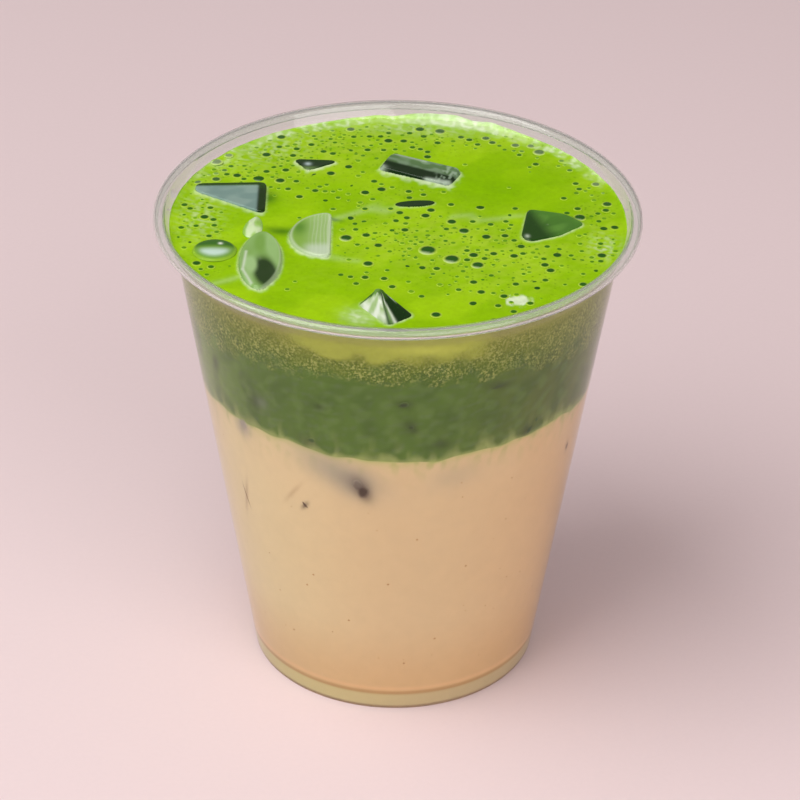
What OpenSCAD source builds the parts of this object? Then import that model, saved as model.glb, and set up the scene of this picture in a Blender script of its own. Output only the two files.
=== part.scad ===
// Iced matcha latte in a clear thermoformed cup.
// Origin at the centre of the foot ring on the table, +Z up, front towards -Y. Millimetres.

/* [Cup] */
// Height from the table to the top of the rolled lip
cup_h = 102.2; // [85:0.1:130]
// Outside diameter of the rolled lip
mouth_d = 98; // [80:0.1:120]
// How far the flare and lip stand out beyond the top of the straight wall
flare_w = 4.2; // [0:0.1:9]
// Outside diameter of the wall at the table
base_d = 59.2; // [49:0.1:75]
// Thickness of the plastic sheet
sheet_t = 0.5; // [0.35:0.05:0.8]
// Height of the flare and lip together, above the straight wall
flare_h = 6.2; // [5:0.1:9]
// Height of the rolled lip
lip_h = 2.4; // [2:0.1:3.5]
// How far round the lip rolls, from the flare to its free edge
lip_roll = 225; // [180:5:250]

/* [Foot] */
// Height of the floor's top face above the table
floor_h = 4.7; // [3:0.1:8]
// Width of the narrow channel between the wall and the floor's leg
channel_w = 0.9; // [0.6:0.1:2]
// Bend radius of the sheet where it turns in the foot, at mid sheet
foot_bend = 0.5; // [0.4:0.05:0.8]

/* [Drink] */
// Depth of the froth's surface below the top of the lip
headspace = 3.5; // [2:0.1:8]
// Depth of the froth
froth_depth = 15.2; // [8.7:0.1:20]
// Depth of the matcha under it
matcha_depth = 15.9; // [7.5:0.1:43.5]
// How much the milk line wanders up and down
milk_wave = 0.8; // [0:0.1:2]
// How much the froth's underside wanders up and down
froth_wave = 3; // [0:0.1:4]
// How far the froth climbs the wall
climb_h = 0.5; // [0.1:0.1:1]
// Width of the band in which the froth climbs
climb_w = 2.5; // [1:0.1:5]
// Clearance between the drink, its layers, the ice and the cup
fit_gap = 0.05; // [0.02:0.01:0.2]

/* [Froth bubbles] */
// Diameter of the one dome-shaped bubble at the left
dome_d = 8.8; // [4:0.1:12]
// Height of that dome above the froth
dome_h = 0.9; // [0.3:0.1:2]
// Diameter of the largest open bubbles
pit_d = 2.4; // [1:0.1:4]
// Depth of those bubbles
pit_h = 0.8; // [0.2:0.1:1.5]

/* [Ice] */
// Radius of the melted edges
ice_round = 0.6; // [0.3:0.1:1]
// How deep the ice reaches below the froth's surface
ice_sink = 15; // [8:1:18]
// Size of an ice piece's lowest part as a share of its size at the surface
ice_foot = 0.8; // [0.6:0.05:1]

/* [Hidden] */

sides = 60;        // sides of the liquids round the cup
disc_rings = 5;    // rings of a liquid's surface between its middle and the wall
arc_step = 15;     // degrees between points on a bend
ball_fn = 8;       // sides of the ice's rounded corners and of the bubbles

froth_top = cup_h - headspace;
froth_level = froth_top - froth_depth;
milk_level = froth_level - matcha_depth;
wall_top_d = mouth_d - 2 * flare_w;
wall_top_h = cup_h - flare_h;
mid = sheet_t / 2;
lip_r = (lip_h - sheet_t) / 2;                      // bend radius of the lip at mid sheet
lip_c = [mouth_d / 2 - lip_h / 2, cup_h - lip_h / 2];
leg_d = base_d - 4 * sheet_t - 2 * channel_w;       // diameter of the floor's leg on the side of its hollow
lip_start = 165;                                    // where the flare meets the lip, degrees round the lip

// Points on a circle of radius r about c, from angle a to angle b.
function arc(c, r, a, b) = let (n = max(2, ceil(abs(b - a) / arc_step)))
    [for (i = [0:n]) c + r * [cos(a + (b - a) * i / n), sin(a + (b - a) * i / n)]];

// A curve that leaves p along u and arrives at q along v, with n steps.
function blend_curve(p, u, q, v, n) =
    [for (i = [0:n]) let (t = i / n, s = 1 - t)
        s * s * s * p + 3 * s * s * t * (p + u) + 3 * s * t * t * (q - v) + t * t * t * q];

// The sheet's middle line at a point, and the line moved sideways by d, to the left of its direction.
function side_of(line, i) = let (d = line[min(i + 1, len(line) - 1)] - line[max(i - 1, 0)])
    [-d[1], d[0]] / norm(d);
function moved(line, d) = [for (i = [0:len(line) - 1]) line[i] + d * side_of(line, i)];
function backwards(list) = [for (i = [len(list) - 1:-1:0]) list[i]];

// Middle line of the sheet: floor, leg, foot, wall, flare and lip, from the axis outwards.
leg_r = leg_d / 2 + mid;
floor_z = floor_h - mid;
foot_z = mid + foot_bend;
wall_low = [base_d / 2 - mid, foot_z];
wall_high = [wall_top_d / 2 - mid, wall_top_h];
wall_dir = (wall_high - wall_low) / norm(wall_high - wall_low);
lip_in = lip_c + lip_r * [cos(lip_start), sin(lip_start)];
lip_dir = [sin(lip_start), -cos(lip_start)];
flare_line = blend_curve(wall_high, wall_dir * flare_h * 0.2, lip_in, lip_dir * flare_h * 0.3, 8);
floor_line = concat([[0, floor_z]], arc([leg_r - foot_bend, floor_z - foot_bend], foot_bend, 90, 0));
foot_line = concat(arc([leg_r + foot_bend, foot_z], foot_bend, 180, 270),
                   arc([wall_low[0] - foot_bend, foot_z], foot_bend, 270, 360));
lip_line = arc(lip_c, lip_r, lip_start, lip_start - lip_roll);
sheet_line = concat(floor_line, foot_line, flare_line, [for (i = [1:len(lip_line) - 1]) lip_line[i]]);

// Inside radius of the wall at height z, less the clearance.
wall_in = moved(concat([wall_low], flare_line), mid);
function bore_r(z) = lookup(z, [for (p = wall_in) [p[1], p[0]]]) - fit_gap;

// The ice and bubbles below are laid out for a wall this far across its top; they spread with another wall.
layout_d = 89.6;
spread = wall_top_d / layout_d;

// Height of the three drink surfaces at angle a and share s of the way from the axis to the wall.
function milk_line(a, s) = milk_level - milk_wave * s * (cos(4 * (a + 90)) - 0.75 * cos(2 * (a + 90)));
function froth_line(a, s) = froth_level + froth_wave * s * cos(2 * (a + 90)) + 0.3 * s * sin(5 * a);
function froth_face(a, s) = let (out = (1 - s) * bore_r(froth_top) / climb_w)
    froth_top + climb_h * exp(-3 * out) + 0.12 * s * sin(3 * a + 40);
function height(surface, a, s) = surface == "milk" ? milk_line(a, s)
    : surface == "froth_under" ? froth_line(a, s) : froth_face(a, s);

turns = [for (i = [0:sides - 1]) 360 * i / sides];
// Share of the way to the wall for ring k, closer together near the wall.
function share(k) = 1 - pow(1 - k / disc_rings, 1.6);
function ring(r, z) = [for (a = turns) [r * cos(a), r * sin(a), z]];
function disc(surface, up) = [for (k = [1:disc_rings]) [for (a = turns)
    let (s = share(k), z = height(surface, a, s) + up, r = s * bore_r(height(surface, a, 1)))
        [r * cos(a), r * sin(a), z]]];
// Rings up the wall at the bends of its flare, for a layer between two heights.
function flare_rings(low, high) = [for (p = wall_in) if (p[1] > low && p[1] < high) ring(bore_r(p[1]), p[1])];

// A closed solid through rings of points, from a bottom point on the axis to a top one.
module ring_solid(low, rings, high) {
    n = len(rings);
    last = n * sides + 1;
    points = concat([[0, 0, low]], [for (r = rings) each r], [[0, 0, high]]);
    function at(k, i) = 1 + k * sides + i % sides;
    polyhedron(points, concat(
        [for (i = [0:sides - 1]) [0, at(0, i), at(0, i + 1)]],
        [for (k = [0:n - 2], i = [0:sides - 1]) each
            [[at(k, i), at(k + 1, i), at(k + 1, i + 1)], [at(k, i), at(k + 1, i + 1), at(k, i + 1)]]],
        [for (i = [0:sides - 1]) [last, at(n - 1, i + 1), at(n - 1, i)]]));
}

// Plans of the ice pieces at the surface, about their own middles: a slab with one narrower end, a slab
// with one slanted side, a sliver, an arrowhead, a lens and a half moon.
function slab_plan(l, w, end_w) =
    [[-l / 2, -end_w / 2], [l / 2, -w / 2], [l / 2, w / 2], [-l / 2, end_w / 2]];
function slant_plan(l, w, end_w) =
    [[-l / 2, w / 2 - end_w], [l / 2, -w / 2], [l / 2, w / 2], [-l / 2, w / 2]];
function sliver_plan(l, w) = [[-l / 2, w / 2], [-l / 6, -w / 2], [l / 2, w * 0.4]];
function arrow_plan(l, w) = [[-l * 0.46, w / 2], [-l / 2, -w * 0.35], [-l * 0.4, -w / 2],
                             [l * 0.36, -w * 0.26], [l / 2, w * 0.08], [l * 0.2, w * 0.36]];
function lens_plan(l, w) = [for (a = [0:30:330]) [sign(cos(a)) * pow(abs(cos(a)), 0.9) * l / 2,
                                                 sign(sin(a)) * pow(abs(sin(a)), 1.5) * w / 2]];
function moon_plan(l, w) = [for (a = [90:22.5:270]) [w * cos(a) + w / 2, sin(a) * l / 2]];

// Each piece: plan, place, turn, lift of the crown above the froth, crown's share of the plan and its shift,
// slope of the crown along its own X and Y, and the shift of its lowest part.
ICE = [
    [slant_plan(14, 11.4, 2.2), [-34.2, 9.2], 0, 0.6, 0.95, [0.1, 0.2], [0.03, 0.03], [5, -2]],
    [sliver_plan(9.6, 4.6), [-17.2, 24.2], 0, 0.4, 0.8, [0, 0.2], [0, 0], [2, -2]],
    [slab_plan(17, 6.6, 5.8), [4.4, 22.2], -24, 0.9, 0.84, [0, 0.2], [-0.03, 0.06], [0, -3]],
    [lens_plan(9.6, 1.8), [3.4, 8.2], 8, 0.3, 0.8, [0, 0], [0, 0], [0, 1]],
    [arrow_plan(12.6, 12.8), [31, -0.8], 0, 0.5, 0.92, [0, 0], [-0.02, 0.03], [-4, -2]],
    [moon_plan(17, 7.8), [-17.8, -6.2], 0, 0.9, 0.9, [0.4, 0], [0.03, 0.04], [3, 1]],
    [lens_plan(26, 8.8), [-27, -16.2], 90, 0.8, 0.8, [0, 0], [0.02, -0.05], [1, 0]],
    [slab_plan(13, 8, 6), [-2, -36.4], -50, 3, 0.06, [-4, 1.4], [0, 0], [-2, 4]],
];

function turned(p, a) = [p[0] * cos(a) - p[1] * sin(a), p[0] * sin(a) + p[1] * cos(a)];

// Points of one level of an ice piece: its plan scaled by k and shifted, each corner rounded to radius r,
// at height z plus the slope.
function ice_level(spec, k, shift, r, z, slope) = [for (p = spec[0], a = [0:360 / ball_fn:359])
    let (q = spread * (spec[1] + turned(k * p + shift, spec[2])))
        [q[0] + r * cos(a), q[1] + r * sin(a), z + slope * p]];

// One ice piece, larger all round by extra: a crown and a foot with chamfered rims, widest at the surface.
module ice(i, extra = 0) {
    spec = ICE[i];
    r = ice_round + extra;
    chamfer = ice_round / 2;
    crown = froth_top + spec[3] + extra;
    foot = froth_top - ice_sink - extra;
    flat = [0, 0];
    points = concat(
        ice_level(spec, spec[4], spec[5], r - chamfer, crown, spec[6]),
        ice_level(spec, spec[4], spec[5], r, crown - chamfer, spec[6]),
        ice_level(spec, 1, flat, r, froth_top - 2 * ice_round, flat),
        ice_level(spec, ice_foot, spec[7], r, foot + chamfer, flat),
        ice_level(spec, ice_foot, spec[7], r - chamfer, foot, flat));
    hull() polyhedron(points, [for (j = [0:len(points) - 3]) [j, j + 1, j + 2]]);
}
module all_ice(extra) for (i = [0:len(ICE) - 1]) ice(i, extra);

// Clear sheet of even thickness: raised floor, foot, tapered wall and rolled lip.
module cup() color("#E4E6E2", 0.35) rotate_extrude($fn = 128)
    polygon(concat(moved(sheet_line, mid), backwards(moved(sheet_line, -mid))));

// The milk also fills the channel in the foot. Its edges are cut to clear the bends of the sheet.
module milk() color("#D5B28B") {
    leg_out = leg_r + mid + fit_gap;
    low = sheet_t + fit_gap;
    shoulder = 0.5 * (foot_bend + mid);
    toe = foot_bend - mid;
    ring_solid(floor_h + fit_gap,
        concat([ring(leg_out - shoulder, floor_h + fit_gap), ring(leg_out, floor_h - shoulder),
                ring(leg_out, low + toe), ring(leg_out + toe, low), ring(bore_r(low) - toe, low),
                ring(bore_r(foot_z), foot_z), ring(bore_r(milk_level / 2), milk_level / 2)],
               backwards(disc("milk", 0))),
        height("milk", 0, 0));
}

module matcha() color("#59702E") difference() {
    ring_solid(height("milk", 0, 0) + fit_gap,
        concat(disc("milk", fit_gap), backwards(disc("froth_under", 0))),
        height("froth_under", 0, 0));
    all_ice(fit_gap);
}

// Places of the dome and of the largest open bubbles on the froth.
dome_at = [-36.2, -12];
PITS = [[6, -11], [10.7, -14.5], [15.8, -16.8], [-10.3, -6.4], [23, -13], [27.2, -25.7], [-5.8, -17],
        [13.2, -3]];

module flat_ball(at, d, h) translate([spread * at[0], spread * at[1], froth_top]) resize([d, d, 2 * h])
    sphere(d = d, $fn = ball_fn);

module froth() color("#8DBB12") difference() {
    union() {
        ring_solid(height("froth_under", 0, 0) + fit_gap,
            concat(disc("froth_under", fit_gap), flare_rings(froth_level + 2 * froth_wave, froth_top),
                   backwards(disc("froth_top", 0))),
            height("froth_top", 0, 0));
        flat_ball(dome_at, dome_d, dome_h);
    }
    for (at = PITS) flat_ball(at, pit_d, pit_h);
    all_ice(fit_gap);
}

module clear_ice(i) color("#B9CDBF", 0.6) ice(i);
module ice_slab() clear_ice(0);
module ice_sliver() clear_ice(1);
module ice_bar() clear_ice(2);
module ice_ridge() clear_ice(3);
module ice_wedge() clear_ice(4);
module ice_fan() clear_ice(5);
module ice_leaf() clear_ice(6);
module ice_peak() clear_ice(7);

cup();
milk();
matcha();
froth();
ice_slab();
ice_sliver();
ice_bar();
ice_ridge();
ice_wedge();
ice_fan();
ice_leaf();
ice_peak();
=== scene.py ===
import bpy
import numpy as np
from mathutils import Matrix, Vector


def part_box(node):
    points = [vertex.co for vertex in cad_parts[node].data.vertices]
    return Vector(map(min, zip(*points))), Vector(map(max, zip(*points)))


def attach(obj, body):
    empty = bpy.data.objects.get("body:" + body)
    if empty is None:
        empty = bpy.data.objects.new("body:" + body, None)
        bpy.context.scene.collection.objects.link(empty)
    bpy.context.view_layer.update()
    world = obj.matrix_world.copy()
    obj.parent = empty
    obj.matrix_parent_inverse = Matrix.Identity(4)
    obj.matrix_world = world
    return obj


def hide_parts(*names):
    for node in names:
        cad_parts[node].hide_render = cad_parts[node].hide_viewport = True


bl_info = {
    "name": "Iced matcha latte",
    "version": (1, 0, 0),
    "blender": (4, 5, 0),
    "location": "View3D > Sidebar > Drink",
    "description": "Builds an iced matcha latte in a clear plastic cup round its fixed frame",
    "category": "Add Mesh",
}

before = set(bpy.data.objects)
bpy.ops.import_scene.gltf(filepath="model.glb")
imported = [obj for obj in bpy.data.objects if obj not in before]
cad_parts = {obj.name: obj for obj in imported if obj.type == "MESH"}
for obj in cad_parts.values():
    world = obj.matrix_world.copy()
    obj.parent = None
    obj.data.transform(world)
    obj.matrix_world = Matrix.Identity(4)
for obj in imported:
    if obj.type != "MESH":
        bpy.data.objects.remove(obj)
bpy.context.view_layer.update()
CUP_LOW, CUP_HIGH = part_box("cup")

MM = 0.001
SIDES = 512  # points round the milk and the matcha
REACH = 0.28  # how far the drink reaches into the sheet, so that no air shows between them
GAP = 0.05  # room between two pieces that meet, in millimetres
SEED = 7


# ---------------------------------------------------------------- colours


def linear(code):
    """The linear values of a colour given as an sRGB hex code such as #8DBB12."""
    parts = np.array([int(code[i : i + 2], 16) for i in (1, 3, 5)]) / 255
    return np.where(parts <= 0.04045, parts / 12.92, ((parts + 0.055) / 1.055) ** 2.4)


def blend(low, high, share):
    """Colour low where share is 0 and colour high where it is 1; each is a hex code or linear values."""
    low, high = (linear(colour) if isinstance(colour, str) else colour for colour in (low, high))
    share = np.clip(np.asarray(share, float), 0, 1)[..., None]
    return low * (1 - share) + high * share


# ---------------------------------------------------------------- sizes


def length(name, description, default):
    """A property that holds a length."""
    return bpy.props.FloatProperty(name=name, description=description, unit="LENGTH", default=default)


def tone(name, description, code):
    """A property that holds a colour."""
    return bpy.props.FloatVectorProperty(
        name=name, description=description, subtype="COLOR", default=tuple(linear(code))
    )


class DrinkCupSizes(bpy.types.PropertyGroup):
    height: length("Height", "From the table to the top of the lip", CUP_HIGH.z - CUP_LOW.z)
    mouth: length("Mouth", "Outside diameter of the rolled lip", CUP_HIGH.x - CUP_LOW.x)
    base: length("Base", "Outside diameter of the wall at the table", 59.2 * MM)
    sheet: length("Sheet", "Thickness of the plastic", 0.5 * MM)
    flare_width: length("Flare width", "How far the lip stands out beyond the wall", 4.2 * MM)
    flare_height: length("Flare height", "Height of the flare and lip", 6.2 * MM)
    lip_height: length("Lip height", "Height of the rolled lip", 2.4 * MM)
    floor_height: length("Floor height", "Height of the raised floor's top face", 4.7 * MM)
    channel: length("Foot channel", "Width of the channel inside the foot", 0.9 * MM)
    foot_bend: length("Foot bend", "Bend radius of the sheet in the foot", 0.5 * MM)


class DrinkLayers(bpy.types.PropertyGroup):
    headspace: length("Headspace", "From the lip down to the froth", 3.5 * MM)
    froth: length("Froth", "Depth of the froth", 15.2 * MM)
    matcha: length("Matcha", "Depth of the matcha under the froth", 15.9 * MM)
    bubbles: bpy.props.IntProperty(
        name="Small bubbles", description="How many small bubbles are scattered on the froth", default=430
    )


class DrinkColours(bpy.types.PropertyGroup):
    milk: tone("Milk", "Beige milk", "#D5BA92")
    matcha: tone("Matcha", "Dark olive tea", "#54701E")
    froth: tone("Froth", "Bright whisked froth", "#89B904")
    backdrop: tone("Backdrop", "Pale pink paper", "#E9D7D9")


# ---------------------------------------------------------------- outline of the cup, in millimetres


def arc(centre, radius, start, end, step=7.5):
    """Points on a circle about centre from angle start to angle end, in degrees."""
    count = max(2, int(np.ceil(abs(end - start) / step)))
    angle = np.radians(np.linspace(start, end, count + 1))
    return np.array(centre) + radius * np.stack([np.cos(angle), np.sin(angle)], 1)


def blend_curve(p, u, q, v, count):
    """A cubic curve that leaves p along u and arrives at q along v."""
    t = np.linspace(0, 1, count + 1)[:, None]
    s = 1 - t
    return s**3 * p + 3 * s * s * t * (p + u) + 3 * s * t * t * (q - v) + t**3 * q


def moved(line, distance):
    """A line moved sideways by distance, to the left of its direction at each point."""
    ahead = np.vstack([line[1:], line[-1:]]) - np.vstack([line[:1], line[:-1]])
    side = np.stack([-ahead[:, 1], ahead[:, 0]], 1)
    return line + distance * side / np.linalg.norm(side, axis=1, keepdims=True)


class Outline:
    """The middle line of the sheet and what follows from it, with every size in millimetres."""

    def __init__(self, scene):
        cup = scene.drink_cup
        layers = scene.drink_layers
        self.sheet = cup.sheet / MM
        self.mid = self.sheet / 2
        self.height = cup.height / MM
        self.floor_h = cup.floor_height / MM
        self.bend = cup.foot_bend / MM
        lip_h = cup.lip_height / MM
        flare_h = cup.flare_height / MM
        self.lip_r = (lip_h - self.sheet) / 2
        self.lip_c = np.array([cup.mouth / MM / 2 - lip_h / 2, self.height - lip_h / 2])
        self.foot_z = self.mid + self.bend
        self.wall_low = np.array([cup.base / MM / 2 - self.mid, self.foot_z])
        wall_top = cup.mouth / MM / 2 - cup.flare_width / MM
        self.wall_high = np.array([wall_top - self.mid, self.height - flare_h])
        self.leg_r = cup.base / MM / 2 - 2 * self.sheet - cup.channel / MM + self.mid
        along = (self.wall_high - self.wall_low) / np.linalg.norm(self.wall_high - self.wall_low)
        start = np.radians(165)
        lip_in = self.lip_c + self.lip_r * np.array([np.cos(start), np.sin(start)])
        lip_dir = np.array([np.sin(start), -np.cos(start)])
        leave, arrive = along * flare_h * 0.2, lip_dir * flare_h * 0.3
        self.flare = blend_curve(self.wall_high, leave, lip_in, arrive, 24)
        inner = moved(np.vstack([self.wall_low, self.flare]), self.mid)
        self.inner_z, self.inner_r = inner[:, 1], inner[:, 0]
        self.froth_top = self.height - layers.headspace / MM
        self.froth_level = self.froth_top - layers.froth / MM
        self.milk_level = self.froth_level - layers.matcha / MM

    def bore(self, z, reach=REACH):
        """Radius of the liquid at height z: the inside of the wall, and reach into it."""
        return np.interp(z, self.inner_z, self.inner_r) + reach

    def sheet_line(self):
        """Floor, leg, foot, wall, flare and lip from the axis outwards."""
        floor_z = self.floor_h - self.mid
        floor = np.vstack(
            [
                np.stack([np.linspace(0.4, self.leg_r - self.bend - 0.4, 12), np.full(12, floor_z)], 1),
                arc([self.leg_r - self.bend, floor_z - self.bend], self.bend, 90, 0, 15),
            ]
        )
        foot = np.vstack(
            [
                arc([self.leg_r + self.bend, self.foot_z], self.bend, 180, 270, 15),
                arc([self.wall_low[0] - self.bend, self.foot_z], self.bend, 270, 360, 15),
            ]
        )
        wall = self.wall_low + np.linspace(0, 1, 26)[1:-1, None] * (self.wall_high - self.wall_low)
        lip = arc(self.lip_c, self.lip_r, 165, -60)
        return np.vstack([floor, foot, wall, self.flare, lip[1:]])

    def milk_line(self, angle, share):
        """Height of the line between milk and matcha: large waves round the cup and small ragged ones."""
        turn = angle + np.pi / 2
        large = 0.8 * (np.cos(4 * turn) - 0.75 * np.cos(2 * turn))
        ragged = 0.22 * np.sin(13 * angle + 1) + 0.16 * np.sin(22 * angle) + 0.12 * np.sin(37 * angle + 2)
        return self.milk_level - share * (large + ragged)

    def froth_line(self, angle, share):
        """Height of the froth's underside: two large waves and five small ones round the cup."""
        big = 3 * share * np.cos(2 * (angle + np.pi / 2))
        return self.froth_level + big + 0.3 * share * np.sin(5 * angle)

    def climb(self, angle):
        """How high foam clings to the wall: 0.5 mm, and about 1 mm more in uneven patches at the back."""
        back = np.exp(-(((np.degrees(angle) - 76) / 20) ** 2))
        uneven = 1 + 0.22 * np.sin(19 * angle) + 0.16 * np.sin(34 * angle + 1)
        return 0.5 + 1.0 * back * uneven

    def froth_face(self, angle, share):
        """Height of the froth's top: level, with three faint waves and a climb at the wall."""
        out = (1 - share) * self.bore(self.froth_top) / 2.5
        waves = 0.12 * share * np.sin(3 * angle + np.radians(40))
        return self.froth_top + self.climb(angle) * np.exp(-3 * out) + waves


# ---------------------------------------------------------------- meshes


def strip(index, wrap=True):
    """Quads between neighbouring rows of a table of vertex numbers, closed round its columns."""
    side = np.roll(index, -1, axis=-1) if wrap else index[..., 1:]
    index = index if wrap else index[..., :-1]
    corners = [index[..., :-1, :], side[..., :-1, :], side[..., 1:, :], index[..., 1:, :]]
    return np.stack(corners, -1).reshape(-1, 4)


def fan(ring, pole):
    """Triangles from a closed ring of vertex numbers to its pole."""
    pole = np.broadcast_to(np.asarray(pole)[..., None], ring.shape)
    return np.stack([np.roll(ring, -1, axis=-1), ring, pole], -1).reshape(-1, 3)


def volume(points, quads, tris):
    """Six times the signed volume inside a closed shell of quads and triangles."""
    faces = np.vstack([tris, quads[:, [0, 1, 2]], quads[:, [0, 2, 3]]])
    a, b, c = (points[faces[:, i]] for i in range(3))
    return np.einsum("ij,ij->", a, np.cross(b, c))


def make_piece(name, points, quads, tris, numbers=None, colours=None, sharp=40):
    """A smooth mesh object from points in millimetres and tables of vertex numbers, facing outwards."""
    points = np.ascontiguousarray(points, float)
    quads = np.asarray(quads, int).reshape(-1, 4)
    tris = np.asarray(tris, int).reshape(-1, 3)
    if volume(points, quads, tris) < 0:
        quads = quads[:, ::-1]
        tris = tris[:, ::-1]
    mesh = bpy.data.meshes.new(name)
    mesh.vertices.add(len(points))
    mesh.vertices.foreach_set("co", (points * MM).astype(np.float32).ravel())
    corners = np.concatenate([quads.ravel(), tris.ravel()])
    sizes = np.concatenate([np.full(len(quads), 4), np.full(len(tris), 3)])
    mesh.loops.add(len(corners))
    mesh.loops.foreach_set("vertex_index", corners.astype(np.int32))
    mesh.polygons.add(len(sizes))
    mesh.polygons.foreach_set("loop_start", (np.cumsum(sizes) - sizes).astype(np.int32))
    mesh.polygons.foreach_set("loop_total", sizes.astype(np.int32))
    mesh.polygons.foreach_set("use_smooth", np.ones(len(sizes), bool))
    mesh.update(calc_edges=True)
    mesh.set_sharp_from_angle(angle=np.radians(sharp))
    for key, values in (numbers or {}).items():
        attribute = mesh.attributes.new(key, "FLOAT", "POINT")
        attribute.data.foreach_set("value", np.asarray(values, np.float32).ravel())
    for key, values in (colours or {}).items():
        attribute = mesh.attributes.new(key, "FLOAT_COLOR", "POINT")
        full = np.ones((len(points), 4), np.float32)
        full[:, :3] = np.asarray(values).reshape(-1, 3)
        attribute.data.foreach_set("color", full.ravel())
    piece = bpy.data.objects.new(name, mesh)
    bpy.context.scene.collection.objects.link(piece)
    return piece


def turns(count):
    """Angles evenly round a circle."""
    return np.linspace(0, 2 * np.pi, count, endpoint=False)


def around(r, angle, z):
    """Points at distance r from the axis, at an angle round it and at height z."""
    r, angle, z = np.broadcast_arrays(r, angle, z)
    return np.stack([r * np.cos(angle), r * np.sin(angle), z], -1)


def many_shells(rings, first, last):
    """Points, quads and triangles of closed shells, each with rings (rows, columns, 3) and two poles."""
    many, rows, columns = rings.shape[:3]
    each = rows * columns
    points = np.concatenate([rings.reshape(many, each, 3), first[:, None], last[:, None]], 1)
    base = np.arange(many)[:, None, None] * (each + 2)
    index = base + np.arange(each).reshape(rows, columns)
    poles = base[:, 0, 0] + each
    tris = np.vstack([fan(index[:, 0], poles)[:, ::-1], fan(index[:, -1], poles + 1)])
    return points, strip(index), tris


def ring_shell(rings, first, last):
    """Points, quads and triangles of one closed shell through its rings and two poles."""
    points, quads, tris = many_shells(rings[None], np.array([first]), np.array([last]))
    return points[0], quads, tris


def finished(piece, material, slot, *nodes):
    """Gives a piece its material and its place on the one body, and hides the nodes it stands for; slot is
    not used.
    """
    piece.data.materials.append(material)
    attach(piece, "root")
    if nodes:
        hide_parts(*nodes)
    return piece


# ---------------------------------------------------------------- patterns as arrays


def ramp(value, low, high):
    """0 below low and 1 above high, with a smooth step between."""
    t = np.clip((value - low) / (high - low), 0, 1)
    return t * t * (3 - 2 * t)


def ripples(x, y, size, seed, count=14):
    """A smooth random field from -1 to 1: the sum of count sine waves of about the given size."""
    draw = np.random.default_rng(seed)
    way = draw.uniform(0, 2 * np.pi, count)
    scale = 2 * np.pi / (size * draw.uniform(0.6, 1.7, count))
    phase = draw.uniform(0, 2 * np.pi, count)
    total = np.zeros(np.shape(x))
    for angle, turn, start in zip(way, scale, phase):
        total += np.sin(turn * (x * np.cos(angle) + y * np.sin(angle)) + start)
    return np.clip(total / np.sqrt(count), -1, 1)


def spot(x, y, centre, width, height, turn=0):
    """A soft round spot, 1 in its middle, as wide and high as given and turned by degrees."""
    angle = np.radians(turn)
    along = (x - centre[0]) * np.cos(angle) + (y - centre[1]) * np.sin(angle)
    across = (y - centre[1]) * np.cos(angle) - (x - centre[0]) * np.sin(angle)
    return np.exp(-((2 * along / width) ** 2) - (2 * across / height) ** 2)


def near_line(x, y, start, end, width):
    """1 on the line from start to end and fading to nothing over width."""
    start, end = np.array(start, float), np.array(end, float)
    along = end - start
    t = np.clip(((x - start[0]) * along[0] + (y - start[1]) * along[1]) / (along @ along), 0, 1)
    gap = np.hypot(x - start[0] - t * along[0], y - start[1] - t * along[1])
    return np.exp(-((gap / width) ** 2))


def painted(colour, x, y, dabs):
    """A colour with soft round spots painted over it in turn."""
    for place, width, height, turn, code, weight in dabs:
        colour = blend(colour, code, weight * spot(x, y, place, width, height, turn))
    return colour


def round_cup(x, y):
    """Distance round the wall from the front, to the right, at a radius of 40 mm, and the degrees."""
    degrees = np.degrees(np.arctan2(x, -y))
    return np.radians(degrees) * 40, degrees


# ---------------------------------------------------------------- ice outlines


def slab_plan(length, width, end):
    """A bar with straight sides, as wide as width at one end and as wide as end at the other."""
    return [
        [-length / 2, -end / 2], [length / 2, -width / 2],
        [length / 2, width / 2], [-length / 2, end / 2],
    ]


def slant_plan(length, width, end):
    """A block with one slanting side, so that one end is as wide as width and the other as end."""
    low = [[-length / 2, width / 2 - end], [length / 2, -width / 2]]
    return low + [[length / 2, width / 2], [-length / 2, width / 2]]


def sliver_plan(length, width):
    """A triangle with its blunt corner a third of the way along."""
    return [[-length / 2, width / 2], [-length / 6, -width / 2], [length / 2, width * 0.4]]


def arrow_plan(length, width):
    """A blunt arrowhead of six corners, given as shares of its length and width."""
    shares = [[-0.38, 0.48], [-0.5, -0.35], [-0.4, -0.5], [0.07, -0.3], [0.5, 0.08], [0.2, 0.36]]
    return np.array(shares) * [length, width]


def lens_plan(length, width):
    """A pointed oval: an ellipse whose cosine is raised to 0.9 and whose sine to 1.5."""
    angle = np.radians(np.arange(0, 360, 10))
    x = np.sign(np.cos(angle)) * np.abs(np.cos(angle)) ** 0.9 * length / 2
    y = np.sign(np.sin(angle)) * np.abs(np.sin(angle)) ** 1.5 * width / 2
    return np.stack([x, y], 1)


def moon_plan(length, width):
    """Half an ellipse, from its straight side to the left."""
    angle = np.radians(np.arange(90, 271, 7.5))
    return np.stack([width * np.cos(angle) + width / 2, np.sin(angle) * length / 2], 1)


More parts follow.
